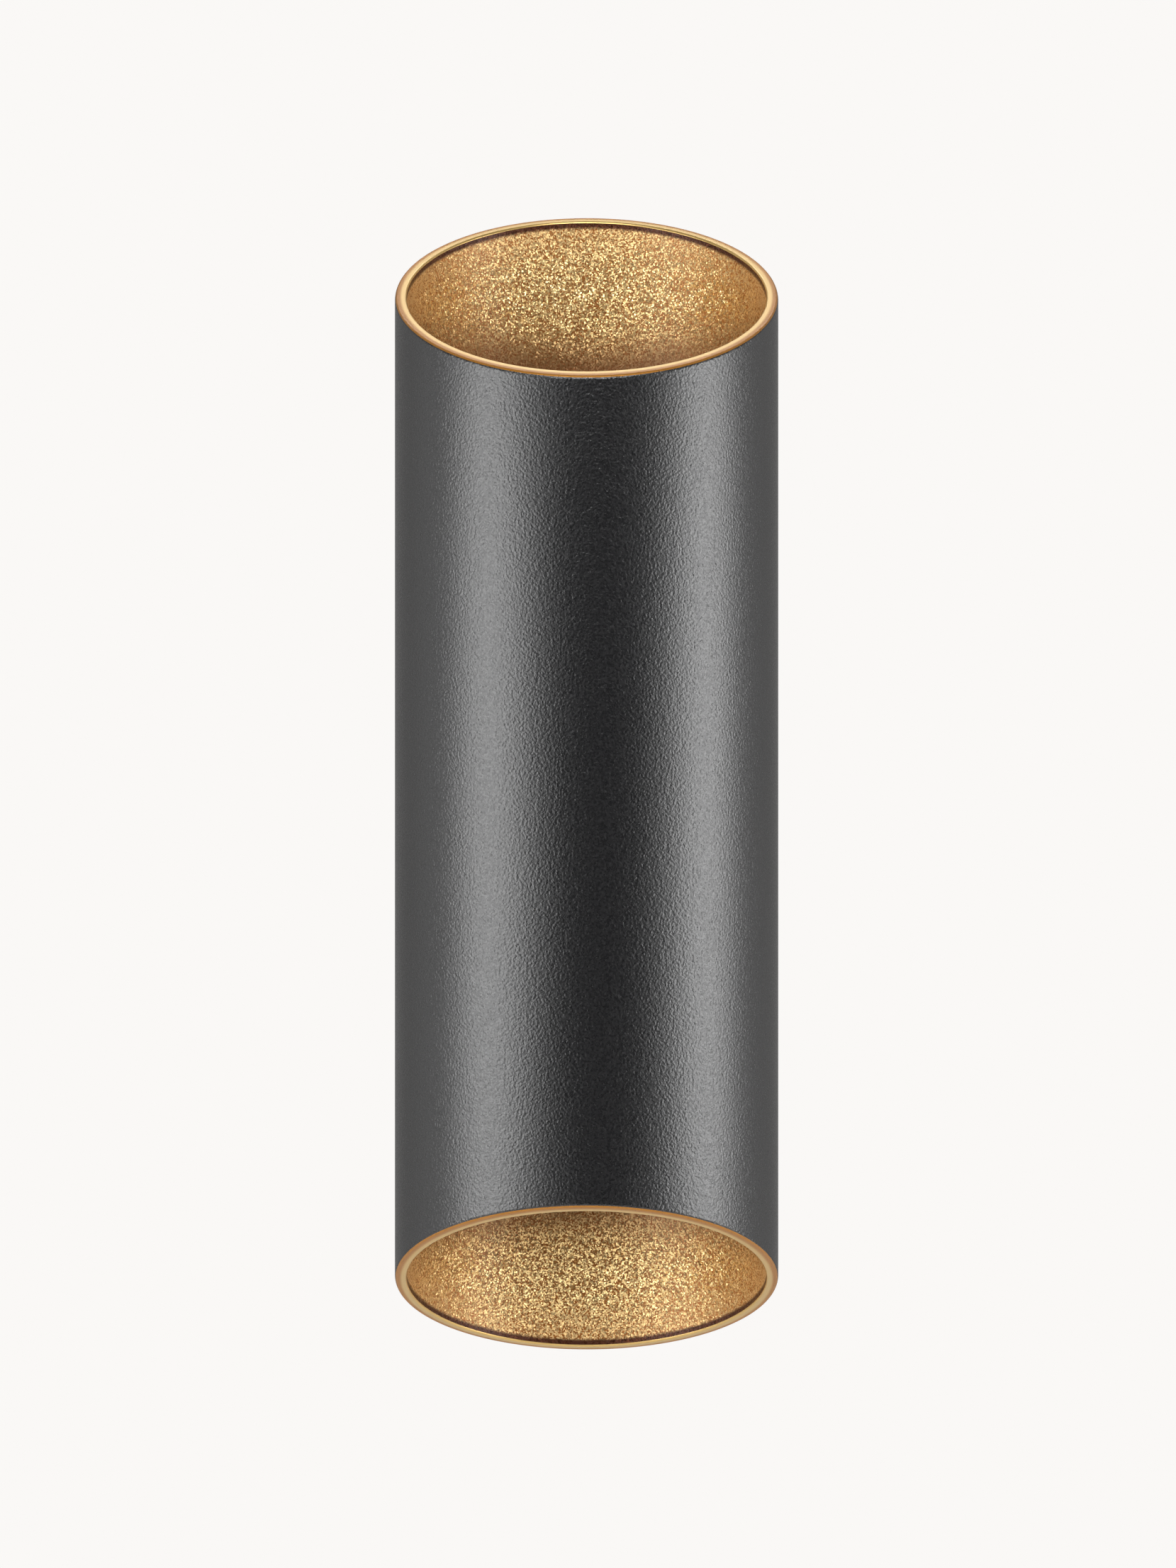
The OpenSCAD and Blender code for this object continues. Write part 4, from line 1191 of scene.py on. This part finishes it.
    def ring(self) -> Piece:
        """Turns the clamping ring, sloped towards the light, with its screws' holes.

        Returns:
            The ring.
        """
        top = self.ring_z + self.ring_t
        ring = Piece.hoop("upper_ring", self.ring_in_r, self.radius, (self.ring_z, top))
        ring.round_edges(edge_at(self.ring_in_r, top), self.ring_slope, 1)
        ring.round_edges(lambda a, b: all(abs(p.z - top) < NEAR for p in (a, b)), self.soft_edge)
        ring.combine(self.bores(self.screw_size / 2 + self.screw_slack, (self.ring_z - MM, top + MM)))
        return ring.smooth().paint(GOLD_SMOOTH)

    def glass(self) -> Piece:
        """Cuts the glass disc and grinds its edges.

        Returns:
            The glass.
        """
        glass = Piece.rod("upper_pane", self.glass_r, (self.glass_z, self.ring_z), (0, AXIS_Y), sides=192)
        glass.round_edges(is_level, self.glass_round, 1)
        return glass.smooth(25).paint(GLASS)

    def screws(self) -> Piece:
        """Makes one screw and copies it round the ring.

        Returns:
            The screws, as one piece.
        """
        seat = Matrix.Translation((0, AXIS_Y + self.screw_r, self.ring_z + self.ring_t))
        first = SocketScrew(self.screw_size, self.screw_len).build("upper_socket_screws", seat)
        first.join([first.copy("screw", turn) for turn in self.screw_places()[1:]])
        return first

    def seal(self) -> Piece:
        """Cuts the flat seal that the glass lies on.

        Returns:
            The seal.
        """
        ends = (self.floor_z + self.floor_t, self.glass_z)
        seal = Piece.hoop("upper_flat_seal", self.seal_in_r, self.glass_r, ends)
        seal.round_edges(is_level, self.seal_round)
        return seal.smooth().paint(RUBBER)

    def seal_ring(self) -> Piece:
        """Makes the round ring in the tray's groove, pressed a little flat between tray and tube.

        Returns:
            The ring.
        """
        low = self.groove_z - self.cord_r
        inside = self.radius - self.groove_deep + self.cord_gap
        ring = Piece.hoop("upper_cord_ring", inside, inside + 2 * self.cord_r, (low, low + 2 * self.cord_r))
        ring.round_edges(is_level, self.cord_round * self.cord_r, 4)
        return ring.smooth(60).paint(RUBBER)

    def build(self) -> None:
        """Makes the upper cover's pieces and turns copies of them over for the lower end."""
        made = {
            "cover": self.tray(),
            "clamp_ring": self.ring(),
            "glass": self.glass(),
            "ring_screws": self.screws(),
            "glass_seal": self.seal(),
            "seal_ring": self.seal_ring(),
        }
        upper, lower = End.UPPER.value, End.LOWER.value
        for node, piece in made.items():
            turned = piece.copy(piece.thing.name.replace(upper, lower), HALF_TURN)
            piece.fit("root", f"{upper}_{node}")
            turned.fit("root", f"{lower}_{node}")


@dataclass
class ReflectorLamp:
    """The face of each lamp: a plate of clear plastic, moulded with many small lenses."""

    radius: float = 21 * MM
    base_z: float = 77.2 * MM
    plate_z: float = 78.7 * MM
    top_z: float = 80.15 * MM
    bead_r: float = 1.75 * MM
    edge: float = 0.8 * MM
    crowding: float = 0.97
    cut: float = 0.1 * MM

    def bead_spots(self) -> list[Span]:
        """Lays the small lenses out in a honeycomb within the plate's edge.

        Returns:
            The middle of each, across and along the plate.
        """
        step = 2 * self.bead_r * self.crowding
        rows = int(self.radius / step) + 2
        spots = [((i + j / 2) * step, j * step * math.sqrt(3) / 2)
                 for j in range(-rows, rows + 1) for i in range(-2 * rows, 2 * rows + 1)]
        return [spot for spot in spots if math.hypot(*spot) < self.radius - self.bead_r - self.edge]

    def build(self) -> None:
        """Moulds the upper lamp's face and turns a copy over for the lower lamp."""
        plate = Piece.rod("upper_lens_plate", self.radius, (self.base_z, self.plate_z), (0, AXIS_Y), sides=96)
        plate.round_edges(edge_at(self.radius, self.plate_z, 0.05 * MM), self.edge / 2)
        Piece.clear_bench()
        bpy.ops.mesh.primitive_uv_sphere_add(segments=14, ring_count=8, radius=self.bead_r)
        bead = Piece("bead")
        bead.pick_faces(anywhere)
        bpy.ops.mesh.bisect(plane_co=(0, 0, self.cut), plane_no=(0, 0, 1), clear_inner=True, use_fill=True,
                            threshold=0.001 * MM)
        rise = (self.top_z - self.plate_z + self.cut) / (self.bead_r - self.cut)
        bpy.ops.mesh.select_all(action="SELECT")
        bpy.ops.transform.resize(value=(1, 1, rise), center_override=(0, 0, self.cut))
        Piece.clear_bench()
        lift = self.plate_z - 2 * self.cut
        spots = self.bead_spots()
        beads = [bead.copy("bead", Matrix.Translation((x, AXIS_Y + y, lift))) for x, y in spots]
        bead.discard()
        plate.join(beads)
        plate.smooth(30).paint(LENS)
        lower = plate.copy("lower_lens_plate", HALF_TURN)
        plate.fit(End.UPPER.body, "upper_lamp_lens")
        lower.fit(End.LOWER.body, "lower_lamp_lens")
        LOG.info("each lamp has %d small lenses", len(spots))


@dataclass
class WallBox:
    """The cast box between wall and tube, its rubber pad and its foam frame."""

    width: float = 60 * MM
    height: float = 120 * MM
    corner: float = 10 * MM
    wall: float = 3 * MM
    back_y: float = -2 * MM
    saddle_r: float = 51 * MM
    front_r: float = 54 * MM
    tube_r: float = 50 * MM
    tube_wall: float = 3 * MM
    slack: float = 0.05 * MM
    bolt_z: float = 42 * MM
    bolt_boss_r: float = 5.5 * MM
    bolt_boss_y: float = -16.5 * MM
    earth_z: float = -20 * MM
    earth_boss_r: float = 4.5 * MM
    earth_boss_y: float = -21 * MM
    rooted: float = 0.5 * MM
    boss_round: float = 0.5 * MM
    pad_z: Span = (12 * MM, 28 * MM)
    pad_x: float = 18 * MM
    pad_y: float = -25 * MM
    wire_hole_r: float = 6.05 * MM
    side_hole_r: float = 2.15 * MM
    side_y: float = -10 * MM
    lip_r: float = 8 * MM
    lip_t: float = 1.5 * MM
    lip_round: float = 0.6 * MM
    lip_bore_r: float = 3.5 * MM
    screw_size: float = 4 * MM
    screw_len: float = 7.5 * MM
    soft_edge: float = 0.8 * MM

    def slab(self, name: str, inset: float, near: float, far: float) -> Piece:
        """Makes a slab of the box's outline.

        Args:
            name: The piece's name.
            inset: How far the outline is taken in.
            near: Its face by the wall, in Y.
            far: Its face by the tube, in Y.

        Returns:
            The slab.
        """
        x, z = self.width / 2 - inset, self.height / 2 - inset
        slab = Piece.block(name, (-x, far, -z), (x, near, z))
        slab.round_edges(lambda a, b: abs(a.y - b.y) > 0.5 * (near - far), self.corner - inset, 12)
        return slab

    def on_outline(self, a: Vector, b: Vector) -> bool:
        """Tells whether an edge runs along the box's outline and not across its front.

        Args:
            a: The edge's first end.
            b: Its second end.

        Returns:
            Whether it does.
        """
        straight_x, straight_z = self.width / 2 - self.corner, self.height / 2 - self.corner
        for point in (a, b):
            over = max(0.0, abs(point.x) - straight_x), max(0.0, abs(point.z) - straight_z)
            if math.hypot(*over) < self.corner - 0.1 * MM:
                return False
        return abs(a.z - b.z) < 2 * straight_z + 0.01 * MM

    def drum(self, radius: float) -> Piece:
        """Makes a cutter along the tube's axis."""
        return Piece.rod("cutter", radius, (-self.height, self.height), (0, AXIS_Y), sides=256)

    def casting(self) -> Piece:
        """Hollows the box out behind and in front, and adds its bosses and its terminal pad.

        Returns:
            The casting.
        """
        box = self.slab("mounting_box", 0, self.back_y, AXIS_Y)
        box.combine([self.drum(self.saddle_r)])
        hollow = self.slab("cutter", self.wall, MM, AXIS_Y)
        hollow.combine([self.drum(self.front_r)])
        box.combine([hollow])
        for on_face in (lambda p: abs(from_axis(p) - self.saddle_r) < NEAR,
                        lambda p: abs(p.y - self.back_y) < NEAR):
            box.round_edges(lambda a, b: self.on_outline(a, b) and on_face(a) and on_face(b), self.soft_edge)
        # The fittings start within the front wall, so that they melt into it.
        root = AXIS_Y + self.saddle_r + self.rooted
        fittings = [Piece.rod("boss", self.bolt_boss_r, (root, self.bolt_boss_y), (0, z), Along.Y, 48)
                    for z in (-self.bolt_z, self.bolt_z)]
        earth_ends = (root, self.earth_boss_y)
        fittings.append(Piece.rod("boss", self.earth_boss_r, earth_ends, (0, self.earth_z), Along.Y, 48))
        for boss in fittings:
            boss.round_edges(lambda a, b: min(a.y, b.y) > root + MM, self.boss_round)
        fittings.append(Piece.block("pad", (-self.pad_x, root - 2 * MM, self.pad_z[0]),
                                    (self.pad_x, self.pad_y, self.pad_z[1])))
        fittings[-1].combine([self.drum(self.saddle_r + MM)])
        box.combine(fittings, Joining.MELT_IN)
        forward, across = (root - 4 * MM, self.pad_y + MM), (-self.width, self.width)
        box.combine([Piece.rod("cutter", self.wire_hole_r, forward, (0, 0), Along.Y, 48)])
        box.combine([Piece.rod("cutter", self.side_hole_r, across, (self.side_y, 0), Along.X, 32)])
        return box.smooth().paint(BOX_COAT)

    def pad(self) -> Piece:
        """Cuts the thin rubber pad that lies between the box and the tube.

        Returns:
            The pad.
        """
        pad = self.slab("saddle_rubber", 0.5 * MM, AXIS_Y + self.saddle_r, AXIS_Y)
        pad.combine([self.drum(self.saddle_r - self.slack)], Joining.KEEP_SHARED)
        pad.combine([self.drum(self.tube_r + self.slack)])
        pad.combine([Piece.rod("cutter", self.wire_hole_r, (AXIS_Y, 0), (0, 0), Along.Y, 48)])
        return pad.smooth().paint(RUBBER)

    def frame(self) -> Piece:
        """Cuts the foam frame that seals the box to the wall.

        Returns:
            The frame.
        """
        foam = self.slab("foam_frame", 0, 0, self.back_y)
        foam.combine([self.slab("cutter", self.wall, MM, self.back_y - MM)])
        foam.round_edges(lambda a, b: abs(a.y - b.y) < NEAR, self.soft_edge / 2)
        return foam.smooth().paint(FOAM)

    def grommet(self) -> Piece:
        """Moulds the rubber grommet: a sleeve through tube, pad and box, with a lip at each end.

        Returns:
            The grommet.
        """
        bore_r, face_r, lip = self.tube_r - self.tube_wall - self.slack, self.front_r + self.slack, self.lip_t
        inner, outer = AXIS_Y + bore_r, AXIS_Y + face_r
        ends = (inner - lip, outer + lip)
        sleeve = Piece.rod("rubber_grommet", self.wire_hole_r - self.slack, ends, (0, 0), Along.Y, 64)
        low = Piece.rod("lip", self.lip_r, (inner - lip, inner + MM), (0, 0), Along.Y, 64)
        low.round_edges(lambda a, b: max(a.y, b.y) < inner - 0.9 * lip, self.lip_round)
        low.combine([self.drum(bore_r)], Joining.KEEP_SHARED)
        high = Piece.rod("lip", self.lip_r, (outer - 3 * MM, outer + lip), (0, 0), Along.Y, 64)
        high.round_edges(lambda a, b: min(a.y, b.y) > outer + 0.9 * lip, self.lip_round)
        high.combine([self.drum(face_r)])
        sleeve.combine([low, high], Joining.MELT_IN)
        sleeve.combine([Piece.rod("cutter", self.lip_bore_r, (AXIS_Y, 0), (0, 0), Along.Y, 48)])
        return sleeve.smooth().paint(RUBBER)

    def side_screws(self) -> Piece:
        """Makes the screw that holds each side of the box to the bracket's ear.

        Returns:
            The screws, as one piece.
        """
        made = []
        for side in (1, -1):
            seat = Matrix.Translation((side * self.width / 2, self.side_y, 0))
            place = seat @ Matrix.Rotation(side * math.pi / 2, 4, "Y")
            made.append(SocketScrew(self.screw_size, self.screw_len).build("side_socket_screws", place))
        made[0].join(made[1:])
        return made[0]

    def build(self) -> None:
        """Makes the box's pieces and hangs them on the lamp."""
        self.casting().fit("root", "wall_box")
        self.pad().fit("root", "saddle_pad")
        self.frame().fit("root", "wall_seal")
        self.grommet().fit("root", "cable_grommet")
        self.side_screws().fit("root", "side_screws")


@dataclass
class Bracket:
    """The pressed steel bracket on the wall, with two ears bent forward."""

    thickness: float = 2 * MM
    strap: Span = (30 * MM, 104 * MM)
    arm: Span = (53 * MM, 16 * MM)
    corner: float = 3 * MM
    ear_deep: float = 16 * MM
    ear_corner: float = 4 * MM
    bend: float = 1.6 * MM
    eye_r: float = 13 * MM
    hole_r: float = 10 * MM
    slot_z: float = 35 * MM
    slot: Span = (5 * MM, 14 * MM)
    side_y: float = -10 * MM
    thread_r: float = 2.05 * MM
    soft_edge: float = 0.3 * MM

    def plate(self, name: str, size: Span, corner: float, behind: float = 0.0) -> Piece:
        """Makes a flat plate with round corners.

        Args:
            name: The piece's name.
            size: Its width and height.
            corner: Its corners' radius.
            behind: How far a cutter stands out past the bracket's two faces.

        Returns:
            The plate.
        """
        x, z = size[0] / 2, size[1] / 2
        made = Piece.block(name, (-x, -self.thickness - behind, -z), (x, behind, z))
        made.round_edges(lambda a, b: abs(a.y - b.y) > 0.5 * self.thickness, corner, 8)
        return made

    def ears(self) -> Piece:
        """Folds the cross arm's two ends forward, with round bends and round front corners.

        Returns:
            The cross arm.
        """
        x, z = self.arm[0] / 2, self.arm[1] / 2
        arm = Piece.block("arm", (-x, -self.ear_deep, -z), (x, 0, z))
        arm.combine([Piece.block("cutter", (self.thickness - x, -2 * self.ear_deep, -2 * z),
                                 (x - self.thickness, -self.thickness, 2 * z))])
        arm.round_edges(lambda a, b: abs(a.z - b.z) > z and max(abs(a.y), abs(b.y)) < NEAR,
                        self.bend + self.thickness / 2, 6)
        arm.round_edges(lambda a, b: 0.5 * self.thickness < abs(a.x - b.x) < 2 * self.thickness
                        and max(a.y, b.y) < NEAR - self.ear_deep, self.ear_corner, 6)
        return arm

    def build(self) -> None:
        """Presses the bracket, punches its holes and takes its sharp edges off."""
        made = self.plate("steel_bracket", self.strap, self.corner)
        eye = Piece.rod("eye", self.eye_r, (-self.thickness, 0), (0, 0), Along.Y, 96)
        made.combine([self.ears(), eye], Joining.MELT_IN)
        through = (-2 * self.thickness, self.thickness)
        made.combine([Piece.rod("cutter", self.hole_r, through, (0, 0), Along.Y, 96)])
        for side in (-1, 1):
            slot = self.plate("cutter", self.slot, self.slot[0] / 2 - 0.01 * MM, MM)
            slot.thing.data.transform(Matrix.Translation((0, 0, side * self.slot_z)))
            made.combine([slot])
        across = (-self.arm[0], self.arm[0])
        made.combine([Piece.rod("cutter", self.thread_r, across, (self.side_y, 0), Along.X, 32)])
        # The booleans leave slivers, which would hold the bevel's width down to nothing.
        made.weld(0.02 * MM)
        made.modify("BEVEL", width=self.soft_edge, segments=2, limit_method="ANGLE",
                    angle_limit=math.radians(50))
        made.smooth().paint(ZINC)
        made.fit("root", "wall_bracket")


@dataclass
class Wire:
    """One insulated wire along its route, in millimetres, smooth through every point, held at both ends."""

    name: str
    node: str
    finish: Finish
    route: list[Place]
    radius: float = 1 * MM

    def build(self) -> None:
        """Draws the route as a curve, gives it its thickness and makes it a mesh."""
        Piece.clear_bench()
        bpy.ops.curve.primitive_bezier_curve_add()
        thing = bpy.context.object
        points = thing.data.splines[0].bezier_points
        points.add(len(self.route) - len(points))
        for point, spot in zip(points, self.route):
            point.co = [c * MM for c in spot]
            point.handle_left_type = point.handle_right_type = "AUTO"
        thing.data.resolution_u = 8
        thing.data.bevel_depth = self.radius
        thing.data.bevel_resolution = 5
        thing.data.use_fill_caps = True
        bpy.ops.object.convert(target="MESH")
        made = Piece(self.name)
        made.weld()
        made.smooth(60).paint(self.finish)
        made.fit("root", self.node)


def lamp_route(side: int, up: int) -> list[Place]:
    """Gives the route of a wire from the terminal block, through the grommet, to a lamp holder.

    Args:
        side: -1 for the live pole and 1 for the neutral one.
        up: 1 for the upper lamp and -1 for the lower one.

    Returns:
        The route's points, in millimetres.
    """
    pole_y = -20.95 - 1.15 * up
    return [
        (side * 12, pole_y, 16), (side * 12, pole_y, 13), (side * 12, pole_y, 11), (side * 7.2, pole_y, 8),
        (side * 2, pole_y - 0.4, 1.035 * up + 1.2), (side * 1.15, -26, 1.15 * up),
        (side * 1.15, -33, 1.15 * up), (side * 1.15, -39, 1.15 * up), (side * 3, -62, 2.5 * up),
        (side * 5, -75, 5 * up), (side * 5, -80, 11 * up), (side * 5, -80, 15 * up), (side * 5, -80, 18 * up),
    ]


def wires() -> list[Wire]:
    """Lists the five wires: live and neutral to each lamp, and earth.

    Returns:
        The wires.
    """
    made = [
        Wire(f"{end.value}_{colour}_lead", f"{end.value}_{colour}_wire", finish, lamp_route(side, up))
        for end, up in ((End.UPPER, 1), (End.LOWER, -1))
        for colour, side, finish in (("live", -1, LIVE), ("neutral", 1, NEUTRAL))
    ]
    earth = [(0, -20.95, 16), (0, -20.95, 13), (0, -20.95, 11), (0, -16.95, 6), (0, -15.95, 0),
             (0, -16.8, -5.5), (0, -19.3, -9.5), (0, -19.3, -12.5), (0, -19.3, -14.5)]
    return made + [Wire("earth_lead", "earth_wire", EARTH, earth)]


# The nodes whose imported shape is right, by the finish that they get.
KEPT = {
    ZINC: ("chassis", "saddle_bolts", "chassis_screws", "holder_screws", "holder_nuts", "terminal_screws",
           "terminal_fixings", "earth_tag", "pillar_screws"),
    BRASS: ("pillars", "upper_contacts", "lower_contacts", "upper_lamp_pins", "lower_lamp_pins",
            "terminal_clamps", "earth_screw"),
    CERAMIC: ("upper_lamp_holder", "lower_lamp_holder"),
    LAMP_WHITE: ("upper_lamp_body", "lower_lamp_body"),
    TERMINAL_WHITE: ("terminal_block",),
}


def main() -> None:
    """Builds the studio and each sub-assembly in order, and dresses the nodes that are kept."""
    logging.basicConfig(level=logging.INFO, format="%(name)s: %(message)s")
    Studio().build()
    Housing().build()
    GlassCover().build()
    ReflectorLamp().build()
    WallBox().build()
    Bracket().build()
    for wire in wires():
        wire.build()
    for finish, nodes in KEPT.items():
        dress(finish, *nodes)


if __name__ == "__main__":
    main()
